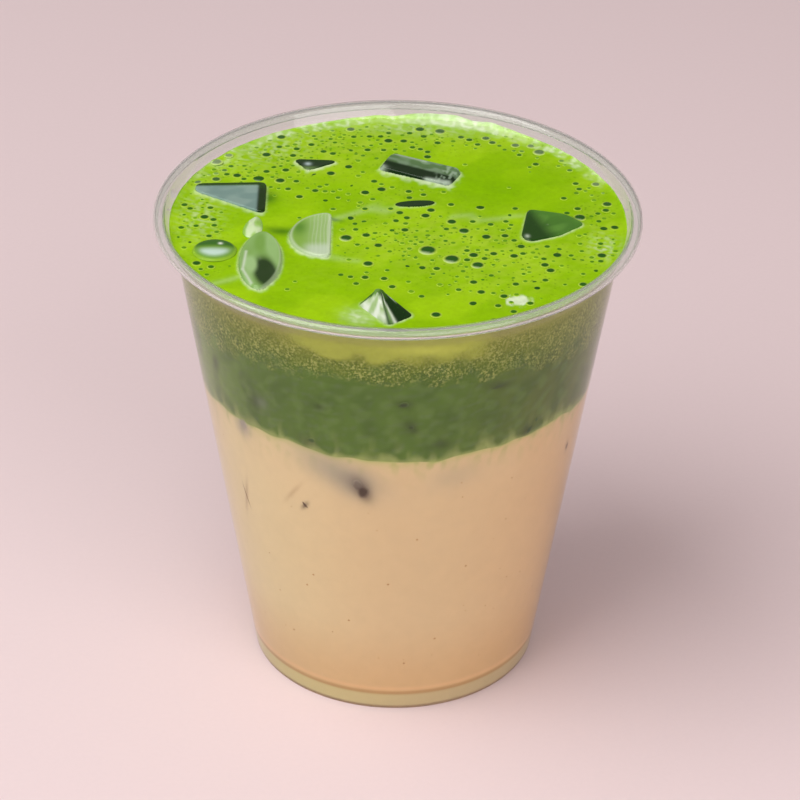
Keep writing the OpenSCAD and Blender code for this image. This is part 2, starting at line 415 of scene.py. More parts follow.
# Each piece: plan, place and turn; lift of its crown above the froth, share of the plan that the crown
# keeps and its shift; slope of the crown; shift of its foot.
ICE = {
    "ice_slab": (slant_plan(14, 11.4, 2.2), (-34.2, 9.2), 0, 0.6, 0.95, (0.1, 0.2), (0.03, 0.03), (5, -2)),
    "ice_sliver": (sliver_plan(9.6, 4.6), (-17.2, 24.2), 0, 0.4, 0.8, (0, 0.2), (0, 0), (2, -2)),
    "ice_bar": (slab_plan(17, 6.6, 5.8), (4.4, 22.2), -24, 0.9, 0.84, (0, 0.2), (-0.03, 0.06), (0, -3)),
    "ice_ridge": (lens_plan(9.6, 1.8), (3.4, 8.2), 8, 0.3, 0.8, (0, 0), (0, 0), (0, 1)),
    "ice_wedge": (arrow_plan(12.6, 12.8), (31, -0.8), 0, 0.5, 0.92, (0, 0), (-0.02, 0.03), (-4, -2)),
    "ice_fan": (moon_plan(17, 7.8), (-17.8, -6.2), 0, 0.9, 0.9, (0.4, 0), (0.03, 0.04), (3, 1)),
    "ice_leaf": (lens_plan(26, 8.8), (-27, -16.2), 90, 0.8, 0.8, (0, 0), (0.02, -0.05), (1, 0)),
    "ice_peak": (slab_plan(13, 8, 6), (-2, -36.4), -50, 3, 0.06, (-4, 1.4), (0, 0), (-2, 4)),
}
ICE_ROUND = 0.6  # radius that melting gives every corner
ICE_SINK = 15  # how far a piece reaches below the froth's face
ICE_FOOT = 0.8  # share of the plan that is left at the foot
ICE_WEAR = 2.4  # how far along its outline melting rounds an ice corner


def turned(points, degrees):
    """Points of a plane turned about its origin."""
    angle = np.radians(degrees)
    x, y = points[..., 0], points[..., 1]
    return np.stack([x * np.cos(angle) - y * np.sin(angle), x * np.sin(angle) + y * np.cos(angle)], -1)


def swept(plan, radius, count=144):
    """The outline that a disc sweeps round a plan's corners, as count even points, then worn."""
    angle = np.radians(np.arange(0, 360, 0.5))
    out = np.stack([np.cos(angle), np.sin(angle)], 1)
    plan = np.array(plan, float)
    line = plan[np.argmax(out @ plan.T, axis=1)] + radius * out
    line = np.vstack([line, line[:1]])
    length = np.concatenate([[0], np.cumsum(np.linalg.norm(np.diff(line, axis=0), axis=1))])
    even = np.linspace(0, length[-1], count, endpoint=False)
    line = np.stack([np.interp(even, length, line[:, 0]), np.interp(even, length, line[:, 1])], 1)
    return worn(line, ICE_WEAR)


def worn(line, reach):
    """A closed convex line with melted corners: each point is the mean of the line for reach round it.

    The mean of a convex line lies inside it, so the piece only gets smaller."""
    length = np.linalg.norm(line - np.roll(line, 1, axis=0), axis=1).sum()
    half = min(reach, 0.12 * length) / 2
    steps = np.linspace(-half, half, 13) / length
    closed = np.vstack([line, line[:1]])
    gone = np.linalg.norm(np.diff(closed, axis=0), axis=1)
    share = np.concatenate([[0], np.cumsum(gone)]) / gone.sum()
    at = (share[:-1, None] + steps) % 1
    return np.stack([np.interp(at, share, closed[:, i]).mean(axis=1) for i in (0, 1)], 1)


def waterline(name):
    """An ice piece's outline where it breaks the froth, between its crown and its widest level."""
    plan, place, turn, lift, crown_share, crown_shift = ICE[name][:6]
    above = lift - ICE_ROUND / 2
    share = above / (above + 2 * ICE_ROUND)
    plan = np.array(plan, float) * (crown_share * (1 - share) + share)
    line = swept(plan, ICE_ROUND, 72) + (1 - share) * np.array(crown_shift)
    return np.array(place) + turned(line, turn)


def outside(name, x, y):
    """Distance from points to an ice piece's waterline: negative inside, positive outside.

    It is the largest distance beyond any side of the convex outline."""
    line = waterline(name)
    ahead = np.roll(line, -1, axis=0) - line
    normal = np.stack([ahead[:, 1], -ahead[:, 0]], 1) / np.linalg.norm(ahead, axis=1, keepdims=True)
    gap = np.full(np.shape(x), -1e9)
    for point, out in zip(line, normal):
        gap = np.maximum(gap, (x - point[0]) * out[0] + (y - point[1]) * out[1])
    return gap


def edge_facts(name, x, y):
    """Distance from points to a waterline, and how far its nearest side faces the front."""
    step = 0.1
    gap = outside(name, x, y)
    return gap, (gap - outside(name, x, y + step)) / step


def all_outside(x, y):
    """Distance to the nearest ice outline."""
    return np.min([outside(name, x, y) for name in ICE], axis=0)


# ---------------------------------------------------------------- materials


def add(tree, kind, values=None, **settings):
    """Adds a node with its settings. A value goes on its socket, and another node's output is linked."""
    made = tree.nodes.new(kind)
    for key, value in settings.items():
        setattr(made, key, value)
    for key, value in (values or {}).items():
        if isinstance(value, bpy.types.NodeSocket):
            tree.links.new(value, made.inputs[key])
        else:
            made.inputs[key].default_value = value
    return made


def new_material(name):
    """An empty node material and its output node."""
    material = bpy.data.materials.new(name)
    material.use_nodes = True
    material.node_tree.nodes.clear()
    return material, material.node_tree, add(material.node_tree, "ShaderNodeOutputMaterial")


def attribute(tree, name, output="Fac"):
    """What one of the mesh's attributes says."""
    return add(tree, "ShaderNodeAttribute", attribute_name=name).outputs[output]


def here(tree):
    """The place in the object's own frame."""
    return add(tree, "ShaderNodeTexCoord").outputs["Object"]


def noise(tree, where, scale, detail, **values):
    """Smooth noise, scale waves to the metre."""
    values = {"Vector": where, "Scale": scale, "Detail": detail, **values}
    return add(tree, "ShaderNodeTexNoise", values).outputs["Fac"]


def stretched(tree, value, low, high, start, end):
    """A value that goes from start to end while the one given goes from low to high."""
    return add(tree, "ShaderNodeMapRange", {0: value, 1: low, 2: high, 3: start, 4: end}).outputs[0]


def combined(tree, operation, first, second):
    """The product, difference or comparison of two values."""
    return add(tree, "ShaderNodeMath", {0: first, 1: second}, operation=operation).outputs[0]


def scaled(tree, colour, level):
    """A colour made lighter or darker by level."""
    return add(tree, "ShaderNodeVectorMath", {0: colour, "Scale": level}, operation="SCALE").outputs[0]


def towards(tree, colour, code, share):
    """A colour blended towards the one with the given code."""
    values = {0: share, 6: colour, 7: (*linear(code), 1)}
    return add(tree, "ShaderNodeMix", values, data_type="RGBA").outputs[2]


def relief(tree, height, strength, depth):
    """The surface's direction with a relief of the given depth in millimetres."""
    values = {"Height": height, "Strength": strength, "Distance": depth * MM}
    return add(tree, "ShaderNodeBump", values).outputs[0]


def glossy(tree, colour, roughness, values):
    """A shader with a colour, a roughness and whatever else is given."""
    values = {"Base Color": colour, "Roughness": roughness, **values}
    return add(tree, "ShaderNodeBsdfPrincipled", values)


def lamps_pass(tree, shader, share):
    """Lets share of a lamp's rays straight through a clear shader, so that they reach what is inside."""
    shadow = add(tree, "ShaderNodeLightPath").outputs["Is Shadow Ray"]
    clear = add(tree, "ShaderNodeBsdfTransparent", {"Color": (share, share, share, 1)})
    return add(tree, "ShaderNodeMixShader", {0: shadow, 1: shader, 2: clear.outputs[0]}).outputs[0]


def clear_pet():
    """Thermoformed PET sheet: clear and glossy, with faint flow marks; whitish where Clear is below 1,
    which on the rolled lip is a painted reflection.
    """
    material, tree, out = new_material("thermoformed_clear_pet")
    clear = attribute(tree, "Clear")
    flow = relief(tree, noise(tree, here(tree), 60.0, 0.0), 0.04, 0.2)
    values = {"IOR": 1.45, "Specular IOR Level": 0.2, "Transmission Weight": clear, "Normal": flow}
    plastic = glossy(tree, attribute(tree, "Tint", "Color"), 0.04, values)
    tree.links.new(lamps_pass(tree, plastic.outputs[0], 0.93), out.inputs[0])
    return material


def liquid(name, size, strength, roughness, shine):
    """A liquid or foam coloured by its Tint, mottled a little at the given size in millimetres."""
    material, tree, out = new_material(name)
    where = here(tree)
    cloud = noise(tree, where, 1 / (size * MM), 4.0, Roughness=0.6)
    level = stretched(tree, cloud, 0.3, 0.7, 1 - strength, 1 + strength)
    colour = scaled(tree, attribute(tree, "Tint", "Color"), level)
    body = glossy(tree, colour, roughness, {"Specular IOR Level": shine})
    tree.links.new(body.outputs[0], out.inputs[0])
    return material, tree, body, colour, where


def milk_material():
    """Milk against the wall: opaque and even, with the faintest mottle."""
    return liquid("beige_milk", 3, 0.02, 0.5, 0.1)[0]


def matcha_material():
    """Whisked tea against the wall: opaque, with clouds of ground leaf about 2 mm across."""
    return liquid("steeped_matcha", 2, 0.07, 0.5, 0.1)[0]


def froth_material():
    """Whisked froth, a moist foam. Where Bubbly says, fewer than half of the cells of a pattern 0.9 mm
    across have a dark sunken middle. Where Speckled says, grains of 0.5 mm are pale or dark."""
    material, tree, body, colour, where = liquid("whisked_matcha_froth", 1.2, 0.06, 0.5, 0.02)
    values = {"Vector": where, "Scale": 1 / (0.9 * MM), "Randomness": 1.0}
    cells = add(tree, "ShaderNodeTexVoronoi", values)
    pick = add(tree, "ShaderNodeSeparateColor", {0: cells.outputs["Color"]})
    middle = stretched(tree, cells.outputs["Distance"], 0.16, 0.34, 1.0, 0.0)
    kept = combined(tree, "MULTIPLY", middle, combined(tree, "LESS_THAN", pick.outputs[0], 0.45))
    holes = combined(tree, "MULTIPLY", kept, attribute(tree, "Bubbly"))
    grain = noise(tree, where, 1 / (0.5 * MM), 2.0, Roughness=0.6, Distortion=0.4)
    speckled = attribute(tree, "Speckled")
    flecks = combined(tree, "MULTIPLY", stretched(tree, grain, 0.5, 0.6, 0.0, 0.85), speckled)
    pits = combined(tree, "MULTIPLY", stretched(tree, grain, 0.38, 0.48, 0.55, 0.0), speckled)
    for code, share in (("#4F7A06", holes), ("#A9A95C", flecks), ("#4C5A22", pits)):
        colour = towards(tree, colour, code, share)
    tree.links.new(colour, body.inputs["Base Color"])
    sunken = relief(tree, combined(tree, "MULTIPLY", holes, -1.0), 0.4, 0.15)
    tree.links.new(sunken, body.inputs["Normal"])
    return material


def bubble_material():
    """Bubbles in the froth: a wet film over a darker hollow, so it is glossy and takes its Tint."""
    material, tree, out = new_material("wet_bubble_film")
    film = glossy(tree, attribute(tree, "Tint", "Color"), 0.2, {"Specular IOR Level": 0.1})
    tree.links.new(film.outputs[0], out.inputs[0])
    return material


def ice_material():
    """Wet melting ice: clear, and opaque in its Tint where the attribute read below says: cloudy white and
    frozen-in lines, painted reflections and highlights, and dark painted shade of the tea seen through it.
    """
    material, tree, out = new_material("melting_clear_ice")
    values = {0: 1.0, 1: attribute(tree, "HazeAndPaintedLight")}
    clear = add(tree, "ShaderNodeMath", values, operation="SUBTRACT", use_clamp=True).outputs[0]
    melt = relief(tree, noise(tree, here(tree), 1 / (4 * MM), 1.0), 0.25, 0.5)
    values = {"IOR": 1.31, "Transmission Weight": clear, "Normal": melt}
    ice = glossy(tree, attribute(tree, "Tint", "Color"), 0.06, values)
    tree.links.new(lamps_pass(tree, ice.outputs[0], 0.9), out.inputs[0])
    return material


def speck_material():
    """Specks and shaded pieces sunk in a liquid, seen against the wall: dull, in their own Tint."""
    return liquid("sunk_in_liquid", 1, 0.1, 0.6, 0.1)[0]


def paper_material(colour):
    """Seamless paper backdrop: matt, with a faint fibre tone."""
    material, tree, out = new_material("seamless_paper")
    fibre = stretched(tree, noise(tree, here(tree), 900.0, 2.0), 0.0, 1.0, 0.985, 1.015)
    paper = glossy(tree, scaled(tree, tuple(colour), fibre), 0.9, {"Specular IOR Level": 0.2})
    tree.links.new(paper.outputs[0], out.inputs[0])
    return material


# ---------------------------------------------------------------- cup


class DRINK_OT_cup(bpy.types.Operator):
    """Make the clear cup: the sheet's middle line, moved half its thickness each way and turned"""

    bl_idname = "drink.make_cup"
    bl_label = "Cup"

    def execute(self, context):
        o = Outline(context.scene)
        line = o.sheet_line()
        upper = moved(line, o.mid)
        under = moved(line, -o.mid)
        along = line[-1] - line[-2]
        end = np.degrees(np.arctan2(along[1], along[0]))
        edge = arc(line[-1], o.mid, end + 90, end - 90, 30)[1:-1]
        profile = np.vstack([upper, edge, under[::-1]])
        angle = turns(360)
        rings = around(profile[:, :1], angle, profile[:, 1:])
        points, quads, tris = ring_shell(rings, [0, 0, upper[0, 1]], [0, 0, under[0, 1]])
        lip = o.lip_c[1] - o.lip_r
        # The rolled lip is painted whitish grey and a little less clear: a painted reflection of the bright
        # room.
        on_lip = ramp(points[:, 2], lip - 1.2, lip)
        grey = blend(np.array([0.97, 0.98, 0.97]), "#EAEDE9", on_lip)
        numbers = {"Clear": 1 - 0.08 * on_lip}
        piece = make_piece("clear_cup", points, quads, tris, numbers, {"Tint": grey}, sharp=60)
        finished(piece, clear_pet(), "clear_cup", "cup")
        return {"FINISHED"}


# ---------------------------------------------------------------- milk and matcha


def wall_rings(o, low, high, rows):
    """Rings up the wall from height low to height high, both functions of the angle, rows of them."""
    angle = turns(SIDES)
    share = np.linspace(0, 1, rows)[:, None]
    z = low(angle) * (1 - share) + high(angle) * share
    return around(o.bore(z), angle, z)


def face_rings(ring, surface, shares):
    """Rings inwards from the last ring of a wall across a liquid's face."""
    angle = np.arctan2(ring[:, 1], ring[:, 0])
    share = np.array(shares)[:, None]
    r = share * np.hypot(ring[:, 0], ring[:, 1])
    return around(r, angle, surface(angle, share))


# Painted on the milk and on the tea against the wall: place (distance round and height), width, height,
# turn in degrees, colour and weight.
MILK_DABS = [
    ((-12, 63.4), 18, 7.5, -22, "#A59B88", 0.75), ((-7.8, 61.2), 7, 6.5, -20, "#8A8074", 0.7),
    ((-6.6, 59.6), 2.9, 5.2, 24, "#463129", 0.95), ((-19.8, 52.7), 1.0, 2.6, -38, "#5A4230", 0.85),
    ((-22.5, 55.2), 1.0, 7.0, -38, "#B5946C", 0.5), ((-38, 47.5), 0.9, 8.5, -16, "#A07C58", 0.6),
    ((-34.5, 66.6), 4.2, 5.0, -30, "#A1968A", 0.8), ((12, 62.5), 11, 6, 10, "#C0AC8C", 0.6),
    ((44.6, 57.2), 1.4, 3.0, 20, "#8A6448", 0.6),
]
TEA_CLOTS = [
    ((1.4, 82.2), 3.0, 2.0), ((2.4, 76.8), 2.4, 2.2), ((3.6, 75.4), 1.6, 1.2), ((-14.5, 79.5), 1.4, 1.0),
    ((19.5, 84), 5.0, 1.6), ((27.6, 69.8), 2.0, 3.2), ((-17.5, 70), 3.4, 2.4), ((-29, 75.6), 2.2, 3.4),
    ((9, 71.5), 3.2, 2.4), ((-41, 79), 1.6, 3.0),
]
TEA_DABS = [(place, 1.3 * width, 1.3 * height, -15, "#37451D", 0.6) for place, width, height in TEA_CLOTS]
TEA_DABS.append(((-27.5, 75.8), 3.0, 3.2, -20, "#7A8070", 0.5))


def milk_tint(o, x, y, z, colour):
    """Beige, lighter and yellower to the left as painted light, with a pale foot, green traces under the
    line and sunken ice, and a painted shade line, highlight and contact shadow low on the foot.
    """
    along, degrees = round_cup(x, y)
    below = o.milk_line(np.arctan2(y, x), 1.0) - z
    # Lighter and yellower to the left: painted light on the side that faces the key lamp.
    milk = blend("#DFCCA2", np.array(colour), ramp(degrees, -60, 5))
    milk = blend(milk, "#DCB98E", ramp(degrees, 5, 70))
    milk = blend(milk, "#D0A672", 0.55 * (1 - ramp(z, 5, 26)))
    milk = blend(milk, "#DCC29C", 0.3 * ramp(z, 50, 64) * (1 + ripples(along, z, 14, 3)) / 2)
    wave = ripples(along, z, 4, 11)
    milk = blend(milk, "#B4B56C", (0.85 - 0.35 * wave) * np.exp(-np.abs(below) / (0.9 + 0.6 * wave)))
    wisp = ramp(ripples(along, z * 0.5, 3.0, 17), 0.25, 0.9) * np.exp(-np.abs(below) / 2.6)
    milk = blend(milk, "#A3A85E", 0.55 * wisp)
    milk = painted(milk, along, z, MILK_DABS)
    # The pale foot is thin milk in the foot's channel, lighter and yellower to the left as painted light.
    foot = 1 - ramp(z, o.floor_h - 0.7, o.floor_h - 0.2)
    pale = blend("#CDC08C", "#C4B088", ramp(degrees, -50, 30))
    milk = blend(milk, pale, 0.95 * foot)
    # A painted shade line at the floor's height, a painted highlight just above it and a painted contact
    # shadow where the foot meets the table.
    milk = blend(milk, "#A97E48", 0.8 * np.exp(-(((z - o.floor_h + 0.15) / 0.42) ** 2)))
    milk = blend(milk, "#E6BC8C", 0.5 * np.exp(-(((z - o.floor_h - 1.0) / 0.5) ** 2)))
    return blend(milk, "#A9876E", 0.85 * (1 - ramp(z, 0.4, 1.2)))


def tea_tint(o, x, y, z, colour):
    """Olive green: lighter to the left as painted key light, browner to the right as painted pink light
    from the paper, with dark clots and milk drawn up.
    """
    along, degrees = round_cup(x, y)
    above = z - o.milk_line(np.arctan2(y, x), 1.0)
    # Lighter to the left: painted light from the key lamp. Browner to the right: painted pink light thrown
    # back from the paper.
    tea = blend("#749038", np.array(colour), ramp(degrees, -72, -34))
    tea = blend(tea, "#5C6A26", ramp(degrees, 8, 50))
    tea = blend(tea, "#6C7838", ramp(degrees, 48, 75))
    tea = blend(tea, "#46601C", 0.55 * ramp(ripples(along, z, 9, 5), -0.2, 0.9))
    tea = blend(tea, "#6C8440", 0.4 * ramp(ripples(along, z, 4, 6), 0.1, 1.0))
    tea = blend(tea, "#5F7048", 0.35 * ramp(ripples(along, 1.4 * z, 2.2, 7), 0.2, 1.0))
    wave = ripples(along, 0.6 * z, 5, 21)
    reach = 1.0 + 1.1 * np.clip(wave, -0.4, 1)
    tea = blend(tea, "#98A05C", 0.85 * np.exp(-((above / reach) ** 2)))
    tongue = ramp(ripples(along, 0.25 * z, 2.6, 23), 0.2, 0.85) * np.exp(-np.abs(above) / 2.6)
    tea = blend(tea, "#A6AC68", 0.6 * tongue)
    return painted(tea, along, z, TEA_DABS)


class DRINK_OT_milk(bpy.types.Operator):
    """Make the milk: rings round the foot channel, up the wall to its wavy line and across its face"""

    bl_idname = "drink.make_milk"
    bl_label = "Milk"

    def execute(self, context):
        o = Outline(context.scene)
        angle = turns(SIDES)
        leg = o.leg_r + o.mid + GAP
        low = o.sheet - REACH
        shoulder = 0.5 * (o.bend + o.mid)
        toe = o.bend - o.mid
        foot = [
            (leg * 0.5, o.floor_h + GAP),
            (leg - shoulder, o.floor_h + GAP),
            (leg, o.floor_h - shoulder),
            (leg, low + toe),
            (leg + toe, low),
            (o.bore(low, 0) - toe, low),
        ]
        foot_r, foot_z = np.array(foot).T[..., None]
        sides = wall_rings(o, lambda a: 0 * a + o.foot_z, lambda a: o.milk_line(a, 1.0), 150)
        face = face_rings(sides[-1], o.milk_line, [0.8, 0.5, 0.2])
        rings = np.vstack([around(foot_r, angle, foot_z), sides, face])
        points, quads, tris = ring_shell(rings, [0, 0, o.floor_h + GAP], [0, 0, o.milk_level])
        colours = milk_tint(o, *points.T, context.scene.drink_colours.milk)
        piece = make_piece("milk_layer", points, quads, tris, colours={"Tint": colours})
        finished(piece, milk_material(), "milk", "milk")
        return {"FINISHED"}


class DRINK_OT_matcha(bpy.types.Operator):
    """Make the matcha: rings up the wall between its two wavy lines and across both its faces"""

    bl_idname = "drink.make_matcha"
    bl_label = "Matcha"

    def execute(self, context):
        o = Outline(context.scene)
        sides = wall_rings(o, lambda a: o.milk_line(a, 1.0), lambda a: o.froth_line(a, 1.0), 52)
        low = face_rings(sides[0], lambda a, s: o.milk_line(a, s) + GAP, [0.2, 0.5, 0.8])
        high = face_rings(sides[-1], o.froth_line, [0.8, 0.5, 0.2])
        rings = np.vstack([low, sides, high])
        points, quads, tris = ring_shell(rings, [0, 0, o.milk_level + GAP], [0, 0, o.froth_level])
        colours = tea_tint(o, *points.T, context.scene.drink_colours.matcha)
        piece = make_piece("matcha_layer", points, quads, tris, colours={"Tint": colours})
        finished(piece, matcha_material(), "matcha", "matcha")
        return {"FINISHED"}


# ---------------------------------------------------------------- froth


FACE_POINTS = 260  # points along each side of the grid that makes the froth's face
# Large bubbles on the froth: place and diameter.
BIG_BUBBLES = [
    (6, -10.8, 4.1), (10.7, -14.3, 3.8), (15.8, -16.6, 3), (-5.8, -16.7, 2.5), (-10.3, -6.2, 3),
    (13.2, -2.8, 2.7), (10.8, 0.9, 2.4), (1.4, -2.7, 2), (17.6, -5.2, 2.4), (23, -12.8, 2.1),
    (27.2, -25.5, 2.7), (23.1, -24, 1.8), (16.3, -27.3, 2), (20.7, -28.8, 2), (-1, -25.8, 1.8),
    (-2.6, -22.6, 1.8), (4.8, -18.1, 2), (-28.6, 18.3, 3.6), (-24.2, 17.6, 2.5), (-33.1, 19.6, 2.2),
    (4.4, 41.5, 2.5), (8.6, 40.7, 2.8), (13, 38.1, 1.8), (18.2, 37.7, 2.1), (25, 30.2, 1.5),
    (40.4, 17.3, 2), (-37.6, 25.0, 2.8), (-35.2, 28.0, 2), (-31.8, 25.6, 1.8), (29.2, 31.5, 2.8),
    (-41.3, -8.6, 2.2), (-39.5, -17.0, 2.2), (-36.6, -18.4, 1.7), (36.6, 3.2, 3), (41.2, -1.4, 2.1),
]
DOME = (-36.2, -12.0, 8.8)  # place and diameter of the one large film bubble
# Where small bubbles crowd: place, width and height of the crowd, its turn and its weight.
CROWDS = [
    ((8, -8), 34, 22, -8, 1.0), ((-2, 13), 22, 9, 0, 0.45), ((-28, 21), 30, 18, 25, 0.75),
    ((-40, 6), 9, 30, 0, 0.6), ((-38, -14), 12, 18, 0, 0.3), ((2, 37), 56, 9, 0, 0.8),
    ((33, 27), 20, 9, -40, 0.3), ((40, 2), 9, 34, 0, 0.6), ((24, -22), 22, 14, 20, 0.5),
    ((-12, 30), 26, 12, 0, 0.6), ((-14, -24), 22, 10, 0, 0.12), ((27, -11), 14, 9, 0, 0.6),
]
# Patches of whitish foam: place, width, height, turn, weight and the share of it that has no grain.
PALE_PATCHES = [
    ((-27, 31), 22, 9, 32, 0.3, 0), ((3, 41.5), 26, 5, -4, 0.35, 0.3), ((-40, 3), 8, 18, 0, 0.3, 0),
    ((41, -9), 5, 9, 0, 0.55, 0), ((-7.4, -37.6), 5, 6, 40, 0.6, 0.5),
]
# Faint pale streaks: start, end, width and weight.
PALE_STREAKS = [
    ((-1.6, 7.2), (-13.5, 1.2), 1.3, 0.16), ((11, 1.6), (24.5, 4.8), 1.0, 0.12),
    ((-13.6, -14.6), (-8, -16.8), 1.0, 0.12), ((-31.5, -22), (-37.5, -26.5), 1.4, 0.16),
]
# Brighter green and dark green on the froth: place, width, height, turn, colour and weight. The dark smear
# between the fan and the leaf, at (-23.2, -3.6), is a painted shadow.
GREEN_DABS = [
    ((20, 15), 34, 16, -12, "#7FB300", 0.8), ((-13, 12), 16, 12, 0, "#86B800", 0.6),
    ((-23.2, -3.6), 8.0, 3.6, -8, "#3F7010", 0.8), ((36.4, 3.0), 5.0, 1.2, 0, "#3F7010", 0.8),
    ((-13.0, 1.4), 4.5, 1.4, -25, "#3F7010", 0.8), ((-26, 10), 3.0, 5.0, 0, "#3F7010", 0.8),
]
# How broad and how strong the pale foam and painted highlight round each piece of ice are, where they
# aren't as usual.
FRINGE_WIDTH = {"ice_slab": 0.7, "ice_bar": 1.2, "ice_sliver": 0.7, "ice_leaf": 0.45, "ice_fan": 0.35}
FRINGE_STRENGTH = {"ice_ridge": 0.3, "ice_wedge": 0.6, "ice_peak": 0.5, "ice_slab": 0.55}
PIT_DEPTH = 2.4  # how far the froth's face drops under the ice
CLING = 0.16  # how far the froth rises where it touches the ice


def crowding(x, y):
    """How thick the small bubbles lie at a place: the sum of the crowds, up to 1."""
    total = 0.04 + 0 * x
    for place, width, height, turn, weight in CROWDS:
        total = total + weight * spot(x, y, place, width * 1.1, height * 1.1, turn)
    return np.clip(total, 0, 1)


def square_to_disc(count):
    """A square grid of points bent so that its edge is the unit circle, with rays and rings kept even."""
    u, v = np.meshgrid(np.linspace(-1, 1, count), np.linspace(-1, 1, count))
    wide = np.abs(u) >= np.abs(v)
    big = np.where(wide, u, v)
    small = np.where(wide, v, u)
    angle = np.pi / 4 * small / np.where(big == 0, 1, big)
    along, across = big * np.cos(angle), big * np.sin(angle)
    return np.where(wide, along, across), np.where(wide, across, along)


